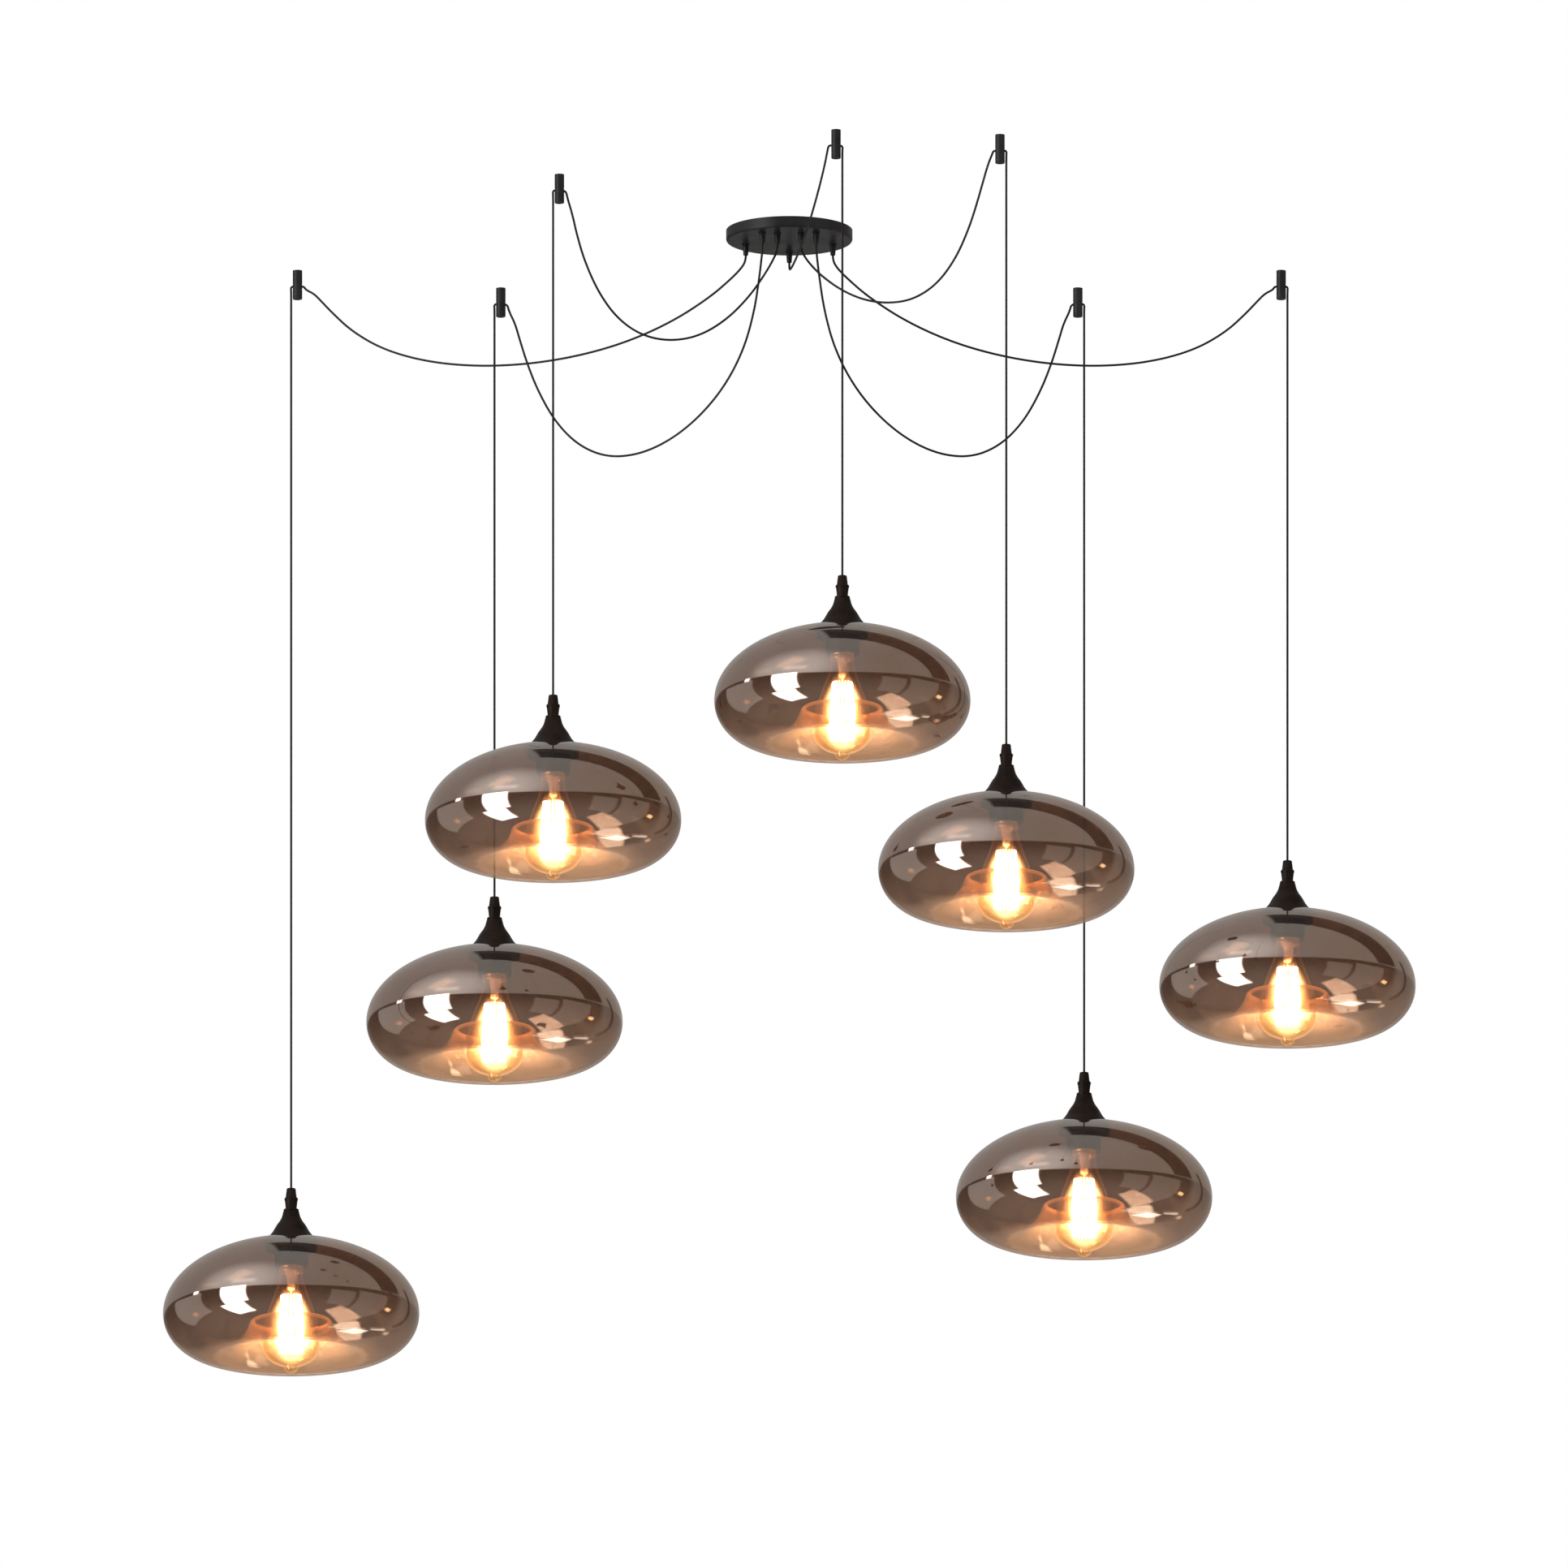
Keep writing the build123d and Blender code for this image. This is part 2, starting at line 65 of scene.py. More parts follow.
# %% [markdown]
# ## The view
# The photograph is taken from a little below the lamp, and it is nearly flat: the far pendants are as
# large as the near ones. An orthographic camera gives that. It looks along +Y and rises 13.5 degrees.

# %% Camera
view_rise = radians(13.5)
view_along = Vector((0, cos(view_rise), sin(view_rise)))
view_centre = Vector((-0.0058, 0.141, -0.587))
view_distance, view_width = 4.0, 1.712

bpy.ops.object.select_all(action="DESELECT")
camera_place = view_centre - view_along * view_distance
bpy.ops.object.camera_add(location=camera_place, rotation=(pi / 2 + view_rise, 0, 0))
camera = bpy.context.object
camera.data.type = "ORTHO"
camera.data.ortho_scale = view_width
camera.data.clip_end = 60
bpy.context.scene.camera = camera
bpy.context.scene.view_settings.view_transform = "Standard"
print("camera at", [round(value, 3) for value in camera.location])

# %% [markdown]
# ## Where the lights hang
# One row for each light, from left to right: its ceiling hook, the depth of its shade's widest line,
# the place of its grip on the canopy, and the points that its cord swags through, as distance from the
# grip and height. The entry is the height at which the cord nears the hook. All of it is in
# millimetres, as in the solid model.

# %% Places of the seven lights
grip_ring = 50


def on_grip_ring(angle):
    return (grip_ring * cos(radians(angle)), grip_ring * sin(radians(angle)))


outer_swag = [
    (0, -30), (5, -38), (17, -49), (42, -68), (86, -92), (140, -111), (198, -122), (258, -126),
    (317, -123), (372, -113), (420, -96), (456, -73), (479, -50.5), (493, -35), (501, -26.5),
]
deep_swag = [
    (0, -30.5), (1.5, -41), (5, -61), (13, -97), (30, -137), (61, -173), (104, -201), (154, -219),
    (206, -225), (257, -218), (303, -196), (340, -163), (367, -125), (385, -91), (398, -60), (405, -42),
]
left_front_swag = [
    (0, -30.5), (5, -40), (17, -58), (42, -89), (78, -122), (121, -148), (167, -161), (210, -161),
    (246, -148), (274, -124), (295, -93), (307, -65), (314, -43),
]
middle_front_swag = [
    (0, -28.6), (3.6, -32.4), (11.5, -34.4), (30, -36.8), (68, -39.8), (126, -42.6), (186, -43.6),
    (246, -43.2), (306, -41.5), (365, -38), (422, -33.5), (468, -28.3), (496, -23.8), (510, -20.8),
]
right_front_swag = [
    (0, -30), (5.5, -37), (19, -49), (48, -69.5), (98, -97), (154, -120), (213, -136), (272, -144),
    (328, -139), (373, -120), (405, -93), (425, -68), (441, -45), (451, -31),
]
lights = [
    {"hook": (-537, 188), "depth": 1171, "grip": on_grip_ring(162), "swag": outer_swag, "entry": -21.5},
    {"hook": (-315, 270), "depth": 824, "grip": on_grip_ring(234), "swag": deep_swag, "entry": -26},
    {"hook": (-251, -262), "depth": 725, "grip": (-13, -36), "swag": left_front_swag, "entry": -27},
    {"hook": (51, -471), "depth": 641, "grip": on_grip_ring(90), "swag": middle_front_swag, "entry": -18.6},
    {"hook": (230, -448), "depth": 825, "grip": (13, -36), "swag": right_front_swag, "entry": -22},
    {"hook": (315, 270), "depth": 1021, "grip": on_grip_ring(306), "swag": deep_swag, "entry": -26},
    {"hook": (537, 188), "depth": 803, "grip": on_grip_ring(18), "swag": outer_swag, "entry": -21.5},
]
# The cord goes through a cross hole in the hook and comes out at the same reach on both sides
hook_hole, hook_reach = -17.2, 6.9
for light in lights:
    light["side"] = 1 if light["hook"][0] < light["grip"][0] else -1
    light["axis"] = (light["hook"][0] - light["side"] * hook_reach, light["hook"][1])
print("lights hang at", [light["axis"] + (-light["depth"],) for light in lights])

# %% [markdown]
# ## Cords
# A cord is one smooth curve with a round bevel. The route's points are the control points of a NURBS
# spline, so the line runs past them in soft arcs, as a hanging cord does. The spline's order and its
# end points are set after the points are there, or it would stay a chain of straight runs. A cord is
# as thick as the bevel's depth times the radius at its points. The depth is 1 and the points carry the
# cord's own radius, so the box round the curve is no larger than the cord.

# %% Cord curves
cord_radius = 1.2 * mm


def hang_cord(name, points):
    curve = bpy.data.curves.new(name, "CURVE")
    curve.dimensions = "3D"
    spline = curve.splines.new("NURBS")
    spline.points.add(len(points) - 1)
    for control, point in zip(spline.points, points):
        control.co = (point[0] * mm, point[1] * mm, point[2] * mm, 1)
        control.radius = cord_radius
    spline.order_u = 3
    spline.use_endpoint_u = True
    spline.resolution_u = 10
    curve.bevel_depth = 1.0
    curve.bevel_resolution = 4
    curve.use_fill_caps = True
    cord = bpy.data.objects.new(name, curve)
    bpy.context.scene.collection.objects.link(cord)
    return cord


cord_start, entry_reach = -24, 2.2


def swag_points(light):
    grip = Vector((*light["grip"], 0))
    hook = Vector((*light["hook"], 0))
    mouth = hook + Vector((light["side"] * hook_reach, 0, 0))
    towards = (grip - mouth).normalized() + Vector((light["side"], 0, 0))
    entry = mouth + towards.normalized() * entry_reach
    along = (entry - grip).normalized()
    points = [grip + Vector((0, 0, cord_start))]
    points += [grip + along * reach + Vector((0, 0, height)) for reach, height in light["swag"]]
    points += [entry + Vector((0, 0, light["entry"])), mouth + Vector((0, 0, hook_hole))]
    return points + [hook + Vector((0, 0, hook_hole))]


bend_swell, bend_drop, straight_drop, cord_end = 0.4, 6.9, 21.3, 83.77


def drop_points(light):
    x, y = light["axis"]
    return [
        Vector((*light["hook"], hook_hole)),
        Vector((x - light["side"] * bend_swell, y, hook_hole + bend_swell)),
        Vector((x, y, hook_hole - bend_drop)),
        Vector((x, y, hook_hole - straight_drop)),
        Vector((x, y, cord_end - light["depth"])),
    ]


cords = []
for number, light in enumerate(lights, 1):
    swag = hang_cord(f"swag_{number}", swag_points(light))
    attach(swag, "ceiling_set")
    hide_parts(f"swag_cord_{number}")
    swag_points(light)[0] * mm
    drop = hang_cord(f"drop_{number}", drop_points(light))
    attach(drop, f"pendant_{number}")
    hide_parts(f"drop_cord_{number}")
    cords += [swag, drop]
print("hung", len(cords), "cords")

# %% [markdown]
# ## A lathe
# Shade, bulb, cap and cord grip are all turned or blown round an axis. Each starts as a circle. Its
# edge is extruded up or down and resized, ring after ring, along a profile of radius and height, as a
# turner follows a template. A ring of no width is merged to a pole, and a last ring that lies on the
# first closes the wall.

# %% Lathe helper
pole_radius = 0.002
merge_distance = 0.005 * mm


def deselect_everything():
    if bpy.context.object and bpy.context.object.mode == "EDIT":
        bpy.ops.object.mode_set(mode="OBJECT")
    bpy.ops.object.select_all(action="DESELECT")


def turn_on_lathe(name, profile, sides=96, smooth=35):
    deselect_everything()
    rings = [(max(radius, pole_radius) * mm, height * mm) for radius, height in profile]
    bpy.ops.mesh.primitive_circle_add(vertices=sides, radius=rings[0][0], location=(0, 0, rings[0][1]))
    piece = bpy.context.object
    piece.name = name
    piece.data.name = name
    bpy.ops.object.transform_apply(location=True, rotation=True, scale=True)
    bpy.ops.object.mode_set(mode="EDIT")
    bpy.ops.mesh.select_all(action="SELECT")
    for (before, low), (radius, height) in zip(rings, rings[1:]):
        bpy.ops.mesh.extrude_edges_move(TRANSFORM_OT_translate={"value": (0, 0, height - low)})
        grow = radius / before
        bpy.ops.transform.resize(value=(grow, grow, 1), center_override=(0, 0, 0))
    bpy.ops.mesh.select_all(action="SELECT")
    bpy.ops.mesh.remove_doubles(threshold=merge_distance)
    bpy.ops.mesh.normals_make_consistent(inside=False)
    bpy.ops.object.mode_set(mode="OBJECT")
    bpy.ops.object.shade_smooth_by_angle(angle=radians(smooth))
    return piece


print("lathe ready")

# %% [markdown]
# Profiles are put together from parts of ovals and circles and from soft curves with two pulls. Points
# that lie on the one before are thinned out, because a ring needs some way to the next.


# %% Profile helpers
def clamped(value):
    return min(1.0, max(0.0, value))


def oval(centre, wide, tall, start, end, steps):
    turns = [radians(start + (end - start) * step / steps) for step in range(steps + 1)]
    return [(centre[0] + wide * cos(turn), centre[1] + tall * sin(turn)) for turn in turns]


def arc(centre, radius, start, end, steps):
    return oval(centre, radius, radius, start, end, steps)


def soft_curve(a, b, c, d, steps):
    line = []
    for step in range(steps + 1):
        t = step / steps
        weights = ((1 - t) ** 3, 3 * t * (1 - t) ** 2, 3 * t**2 * (1 - t), t**3)
        line.append(tuple(sum(w * p[axis] for w, p in zip(weights, (a, b, c, d))) for axis in (0, 1)))
    return line


def thin_out(profile, too_near=1e-4):
    kept = [profile[0]]
    for point in profile[1:]:
        if abs(point[0] - kept[-1][0]) + abs(point[1] - kept[-1][1]) > too_near:
            kept.append(point)
    return kept


print("profile helpers ready")

# %% [markdown]
# ## The blown glass shade
# The shade is a squashed dome. Its lower edge rolls under and turns up again into a bell that stands
# round the bulb, with a small curled lip. The wall is 3 mm, so the profile goes down the outside,
# round the lip and back up the inside.

# %% Shade profile and mesh
wall = 3
dome_wide, dome_high = 140, 82.7
roll_wide, roll_deep, roll_centre = 56, 48.6, (84, 0)
hole, hole_chamfer, land_middle, land_edge = 19.5, 0.6, 26, 33
land = dome_high * sqrt(1 - (land_edge / dome_wide) ** 2)
outer_dome_end, inner_dome_end = 76.36, 76.1
bell_mouth, lip_radius, lip_turn = (46, -13), 7, 56
lip_start = degrees(atan2(2.4, 15.1))
lip_end = lip_start + lip_turn


def beyond(place, way, angle):
    return (place[0] + way * cos(radians(angle)), place[1] + way * sin(radians(angle)))


lip_centre = beyond(bell_mouth, -lip_radius, lip_start)
air_mouth = beyond(bell_mouth, -wall, lip_start)
nose = beyond(lip_centre, lip_radius - wall / 2, lip_end)
air_pull = (air_mouth[0] + 2.6, air_mouth[1] - 16.4)
foot, inner_foot = (84, -roll_deep), (84, wall - roll_deep)

shade_profile = [(hole, land - wall), (hole, land - hole_chamfer), (hole + hole_chamfer, land)]
shade_profile += [(land_middle, land), (land_edge, land)]
shade_profile += oval((0, 0), dome_wide, dome_high, outer_dome_end, 0, 40)
shade_profile += oval(roll_centre, roll_wide, roll_deep, 0, -90, 24)
shade_profile += soft_curve(foot, (71, foot[1]), air_pull, air_mouth, 18)
shade_profile += arc(lip_centre, lip_radius - wall, lip_start, lip_end, 6)
shade_profile += arc(nose, wall / 2, lip_end + 180, lip_end, 8)
shade_profile += arc(lip_centre, lip_radius, lip_end, lip_start, 6)
shade_profile += soft_curve(bell_mouth, (48.4, -28.1), (72, inner_foot[1]), inner_foot, 18)
shade_profile += oval(roll_centre, roll_wide - wall, roll_deep - wall, -90, 0, 24)
shade_profile += oval((0, 0), dome_wide - wall, dome_high - wall, 0, inner_dome_end, 40)
shade_profile += [(land_middle, land - wall), (hole, land - wall)]
shade_pattern = turn_on_lathe("shade_pattern", thin_out(shade_profile), sides=128, smooth=40)
print("shade pattern:", len(shade_pattern.data.polygons), "faces")

# %% [markdown]
# The mirror coat lies on the outside of the glass, dense over the dome and thin towards the bell. A
# value stored on each point of the mesh says how dense the coat is there, so every pendant fades in the
# same way. A point counts as inside when it lies within the middle of the wall. A second value marks
# where a painted glow lies on the glass, standing for the lamp's light caught in thick glass: the bell's
# lip, and more faintly the bell itself and the foot of the roll.

# %% Coat density and painted edge glow
coat = shade_pattern.data.attributes.new("coat", "FLOAT", "POINT")
painted_glow = shade_pattern.data.attributes.new("painted_edge_glow", "FLOAT", "POINT")
fade_depth, inside_coat, thinnest_coat = 48, 0.12, 0.3
bell_edge, bell_reach, lip_reach = roll_centre[0], 43, 5
foot_middle, foot_reach, foot_below = 80, 26, -34
for point in shade_pattern.data.vertices:
    radius = sqrt(point.co.x**2 + point.co.y**2) / mm
    height = point.co.z / mm
    on_bell = radius < bell_edge and height < 10
    if height > 0:
        across, deep, out = dome_wide, dome_high, radius
    else:
        across, deep, out = roll_wide, roll_deep, radius - bell_edge
    inside = (out / (across - wall / 2)) ** 2 + (height / (deep - wall / 2)) ** 2 < 1
    outside_coat = thinnest_coat + (1 - thinnest_coat) * clamped((height + fade_depth) / fade_depth)
    coat.data[point.index].value = 0.0 if on_bell else inside_coat if inside else outside_coat
    # Painted glow for lamp light in thick glass: strongest at the lip's nose, faint over the bell and at
    # the roll's foot
    from_nose = sqrt((radius - nose[0]) ** 2 + (height - nose[1]) ** 2)
    lip_painted_glow = max(0.0, 1 - from_nose / lip_reach)
    bell_painted_glow = 0.03 + 0.22 * ((bell_edge - radius) / bell_reach) ** 2 if on_bell else 0.0
    near_foot = max(0.0, 1 - abs(radius - foot_middle) / foot_reach)
    foot_painted_glow = 0.08 * near_foot if height < foot_below else 0.0
    painted_glow.data[point.index].value = max(lip_painted_glow, bell_painted_glow, foot_painted_glow)
print("coat runs from", min(v.value for v in coat.data), "to", max(v.value for v in coat.data))

# %% [markdown]
# ## The bulb
# A tall filament bulb has a teardrop of thin glass with a tip where it was sealed, a brass screw base,
# a glass stem and a cage of fine glowing strands. The glass is a single turned wall. The base is turned
# with a wavy profile that reads as a rolled screw thread.

# %% Bulb glass, base and stem
neck_z, belly_z, foot_z, tip_z = 45.97, -34.63, -59.23, -66.53
neck_wide, belly_wide, foot_wide = 12.4, 32, 8.2
neck_length, bulb_wall, bulb_steps = 12, 0.7, 22


def bulb_line(inset):
    neck, belly = neck_wide - inset, belly_wide - inset
    foot_corner, tip = (foot_wide - inset, foot_z + inset), (0, tip_z + inset)
    line = [(neck, neck_z + neck_length), (neck, neck_z)]
    line += soft_curve((neck, neck_z), (neck, neck_z - 20.15), (belly, belly_z + 36.27), (belly, belly_z),
                       bulb_steps)
    line += soft_curve((belly, belly_z), (belly, belly_z - 14.8), (19.2 - inset, foot_z + 2.95 + inset),
                       foot_corner, 14)
    return line + soft_curve(foot_corner, (7.8 - inset, tip[1] + 2.2), (4.9, tip[1]), tip, 8)


bulb_profile = bulb_line(0) + bulb_line(bulb_wall)[::-1] + [(neck_wide, neck_z + neck_length)]
bulb_pattern = turn_on_lathe("bulb_pattern", thin_out(bulb_profile), sides=64, smooth=60)

base_profile = [(12.5, neck_z), (13.15, neck_z), (13.2, neck_z + 0.4), (13.2, neck_z + 3.2)]
thread_turns, thread_pitch, first_crest = 5, 3.6, neck_z + 5.0
for turn in range(thread_turns):
    crest = first_crest + turn * thread_pitch
    base_profile += [(12.4, crest - 1.1), (12.55, crest - 0.5), (13.1, crest + 0.3), (13.2, crest + 0.9),
                     (13.1, crest + 1.5), (12.55, crest + 2.2)]
base_profile += [(12.6, neck_z + 23.6), (11.8, neck_z + 24), (7.0, neck_z + 27.2), (4.8, neck_z + 28),
                 (4.8, neck_z + 28.8), (4.0, neck_z + 29.4), (0, neck_z + 29.5)]
base_pattern = turn_on_lathe("base_pattern", thin_out(base_profile), sides=64, smooth=50)

stem_profile = [(0, neck_z + 11), (10.5, neck_z + 11), (10.9, neck_z + 9.6), (8.0, neck_z + 4),
                (5.2, neck_z - 4), (4.4, neck_z - 12), (4.8, neck_z - 17), (3.6, neck_z - 19.5),
                (1.4, neck_z - 20.5), (1.1, neck_z - 24), (1.0, -38), (1.6, -39), (1.6, -41), (0, -41.5)]
stem_pattern = turn_on_lathe("stem_pattern", stem_profile, sides=32, smooth=40)
print("bulb patterns:", [len(p.data.polygons) for p in (bulb_pattern, base_pattern, stem_pattern)])

# %% [markdown]
# The filament is one fine wire that runs up and down round the stem. It starts as a bare zigzag of
# edges, extruded point by point, and a skin of small square tubes gives it thickness.

# %% Filament cage
strand_count = 20
low_ring, low_end, high_ring, high_end = 12.5, -43.0, 10.5, 20.0
cage_swell, wire_radius = 1.2, 0.5 * mm
deselect_everything()
bpy.ops.mesh.primitive_plane_add(size=0.001, location=(0, 0, 0))
filament_pattern = bpy.context.object
filament_pattern.name = "filament_pattern"
bpy.ops.object.mode_set(mode="EDIT")
bpy.ops.mesh.select_all(action="SELECT")
bpy.ops.mesh.merge(type="CENTER")
here = Vector((0, 0, 0))
for strand in range(2 * strand_count + 1):
    turn = 2 * pi * strand / (2 * strand_count)
    low = strand % 2 == 1
    radius, height = (low_ring, low_end) if low else (high_ring, high_end)
    there = Vector((radius * cos(turn), radius * sin(turn), height)) * mm
    if strand == 0:
        bpy.ops.transform.translate(value=there - here)
    else:
        bulge = (here + there) / 2
        bulge.x, bulge.y = bulge.x * cage_swell, bulge.y * cage_swell
        bpy.ops.mesh.extrude_vertices_move(TRANSFORM_OT_translate={"value": bulge - here})
        bpy.ops.mesh.extrude_vertices_move(TRANSFORM_OT_translate={"value": there - bulge})
    here = there
bpy.ops.object.mode_set(mode="OBJECT")
skin = filament_pattern.modifiers.new("wire", "SKIN")
skin.use_smooth_shade = True
for point in filament_pattern.data.skin_vertices[0].data:
    point.radius = (wire_radius, wire_radius)
bpy.context.view_layer.objects.active = filament_pattern
bpy.ops.object.modifier_apply(modifier="wire")
print("filament pattern:", len(filament_pattern.data.polygons), "faces")

# %% [markdown]
# A lit filament is seen inside a painted halo of its own light. Thin nested bubbles round the cage carry
# that painted glow: a line of sight through the middle crosses them all, and one near the edge only a few,
# so the glow fades outwards from any side. Each bubble stores its glow strength, which falls from bubble
# to bubble and towards the foot of the bulb.

# %% Painted halo bubbles
bubble_count, bubble_rings = 10, 24
halo_gap, halo_middle, halo_fall = 1.5, -16.0, 3.2


def bulb_room(height):
    outline = bulb_line(halo_gap)
    for (wide, high), (next_wide, low) in zip(outline, outline[1:]):
        if low <= height < high:
            return wide + (next_wide - wide) * (high - height) / (high - low)
    return 0.0


painted_halo_pattern = None
for bubble in range(bubble_count):
    half_height = 35.0 + 1.2 * bubble
    filled_low, filled_high = 0.48 + 0.052 * bubble, 0.72 + 0.028 * bubble
    ring = []
    for step in range(bubble_rings + 1):
        turn = pi * step / bubble_rings
        high = halo_middle + half_height * cos(turn)
        upper = clamped((high + 25) / 30)
        filled = filled_low * (1 - upper) + filled_high * upper
        ring.append((bulb_room(high) * filled * sin(turn) ** 0.4, high))
    layer = turn_on_lathe(f"painted_halo_layer_{bubble}", ring, sides=40, smooth=80)
    halo_strength = layer.data.attributes.new("halo_glow_strength", "FLOAT", "POINT")
    for point in layer.data.vertices:
        low_fade = clamped((point.co.z / mm + 38) / 18)
        # Painted halo: glow strength falls outwards from bubble to bubble and towards the bulb's foot
        halo_strength.data[point.index].value = exp(-bubble / halo_fall) * (0.16 + 0.84 * low_fade)
    if painted_halo_pattern is None:
        painted_halo_pattern = layer
    else:
        deselect_everything()
        layer.select_set(True)
        painted_halo_pattern.select_set(True)
        bpy.context.view_layer.objects.active = painted_halo_pattern
        bpy.ops.object.join()
print("haze pattern:", len(painted_halo_pattern.data.polygons), "faces")

# %% [markdown]
# ## Cap and cord grip
# Over the glass sits a trumpet-shaped cap of spun metal, with a narrow collar. The strain relief on it
# has a waisted body, a band and a tapered nut. Small rounded edges catch the light, so the profiles
# have them drawn in. The trumpet's outside is a smooth line through a few chosen points.

# %% The cap
cap_neck, cap_top = land + 34.1, land + 36.6
cap_outer = [(8.6, cap_neck), (10.2, 108.4), (12.6, 103.6), (16.2, land + 18.1), (20.6, 90.9),
             (25.4, 85.3), (30.0, 81.1), (30.9, land + 0.55)]


def through(points, steps):
    line = []
    for index in range(len(points) - 1):
        a = points[max(index - 1, 0)]
        b, c = points[index], points[index + 1]
        d = points[min(index + 2, len(points) - 1)]
        pull_b = tuple(b[k] + (c[k] - a[k]) / 6 for k in (0, 1))
        pull_c = tuple(c[k] - (d[k] - b[k]) / 6 for k in (0, 1))
        line += soft_curve(b, pull_b, pull_c, c, steps)
    return line


cap_profile = [(5.0, cap_top), (7.7, cap_top), (8.15, cap_top - 0.2), (8.3, cap_top - 0.7),
               (8.3, cap_neck + 0.9), (8.1, cap_neck + 0.3), (7.9, cap_neck + 0.1), (8.3, cap_neck - 0.1)]
cap_profile += through(cap_outer, 5)
cap_profile += [(31.0, land + 0.2), (30.8, land), (29.5, land), (24.4, 85.6), (19.2, 91.2), (14.8, 98),
                (11.2, 103.6), (8.8, 108.2), (7.1, cap_neck - 1.5), (5.0, cap_neck - 1.5), (5.0, cap_top)]
cap_pattern = turn_on_lathe("cap_pattern", thin_out(cap_profile), sides=96, smooth=32)
print("cap pattern:", len(cap_pattern.data.polygons), "faces")

# %% [markdown]
# The grip's body carries a spigot that the nut is pushed on to. Nut and body have a narrow bore, which
# closes on the cord.

# %% Grip body and nut
band_z, nut_z = cap_top + 10.0, cap_top + 12.5
body_profile = [(5.0, cap_top), (6.0, cap_top), (6.2, cap_top + 0.3), (6.1, cap_top + 1.2),
                (6.3, cap_top + 4), (6.8, cap_top + 8.2), (6.9, band_z - 0.2), (7.2, band_z - 0.05),
                (7.4, band_z + 0.3), (7.4, nut_z - 0.4), (7.2, nut_z), (4.0, nut_z), (4.0, nut_z + 6.8),
                (1.4, nut_z + 6.8), (1.4, band_z), (5.0, band_z), (5.0, cap_top)]
body_pattern = turn_on_lathe("body_pattern", body_profile, sides=64, smooth=32)

nut_profile = [(4.1, nut_z), (5.9, nut_z), (6.1, nut_z + 0.25), (6.05, nut_z + 0.8), (5.15, nut_z + 9.6),
               (4.95, nut_z + 10.5), (4.6, nut_z + 10.8), (1.7, nut_z + 10.8), (1.4, nut_z + 10.5),
               (1.4, nut_z + 6.8), (4.1, nut_z + 6.8), (4.1, nut_z)]
nut_pattern = turn_on_lathe("nut_pattern", nut_profile, sides=80, smooth=32)
print("grip patterns:", [len(p.data.polygons) for p in (body_pattern, nut_pattern)])

# %% [markdown]
# The nut gets flats for the fingers. They are pressed in: points that lie outside each of ten planes
# move back to it.

# %% Flats on the nut
flat_count, flat_share = 10, 0.965
outer_skin, above_foot = 4.4 * mm, (nut_z + 0.9) * mm
half_flat = pi / flat_count
for point in nut_pattern.data.vertices:
    across = sqrt(point.co.x**2 + point.co.y**2)
    if across > outer_skin and point.co.z > above_foot:
        turn = atan2(point.co.y, point.co.x)
        off = (turn + half_flat) % (2 * half_flat) - half_flat
        squeeze = min(1.0, flat_share / cos(off))
        point.co.x *= squeeze
        point.co.y *= squeeze
print("nut flats pressed")

# %% [markdown]
# ## Copies for the seven lights
# Each pattern is copied with a mesh of its own and moved under its hook. The mesh moves and the object
# stays at the origin, as the solids do. Each piece rides on its body and stands for its solid.

# %% Hang the pendants
pieces = {}


def hang_copies(pattern, name, body, solid):
    made = []
    for number, light in enumerate(lights, 1):
        copy = bpy.data.objects.new(f"{name}_{number}", pattern.data.copy())
        copy.data.name = copy.name
        copy.data.transform(Matrix.Translation(Vector((*light["axis"], -light["depth"])) * mm))
        bpy.context.scene.collection.objects.link(copy)
        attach(copy, f"{body}_{number}")
        if solid:
            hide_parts(f"{solid}_{number}")
        made.append(copy)
    bpy.data.objects.remove(pattern)
    pieces[name] = made


hang_copies(shade_pattern, "blown_shade", "pendant", "glass_shade")
hang_copies(cap_pattern, "trumpet_cap", "pendant", "socket_cap")
hang_copies(body_pattern, "grip_body", "pendant", "cord_grip")
hang_copies(nut_pattern, "grip_nut", "pendant", None)
hang_copies(bulb_pattern, "bulb_glass", "bulb", "bulb")
hang_copies(base_pattern, "bulb_base", "bulb", None)
hang_copies(stem_pattern, "bulb_stem", "bulb", None)
hang_copies(filament_pattern, "filament", "bulb", None)
hang_copies(painted_halo_pattern, "painted_filament_halo", "bulb", None)

# Mirrors show the studio alone, without the neighbouring shades and bulbs
for name in ("blown_shade", "bulb_glass", "bulb_base", "bulb_stem", "filament", "painted_filament_halo"):
    for piece in pieces[name]:
        piece.visible_glossy = False
print("hung", {name: len(made) for name, made in pieces.items()})

# %% [markdown]
# ## Finishes
# Every finish is a small node tree. A helper makes the material and a Principled shader, and another
# adds noise on Object coordinates, so that no surface is one flat colour.


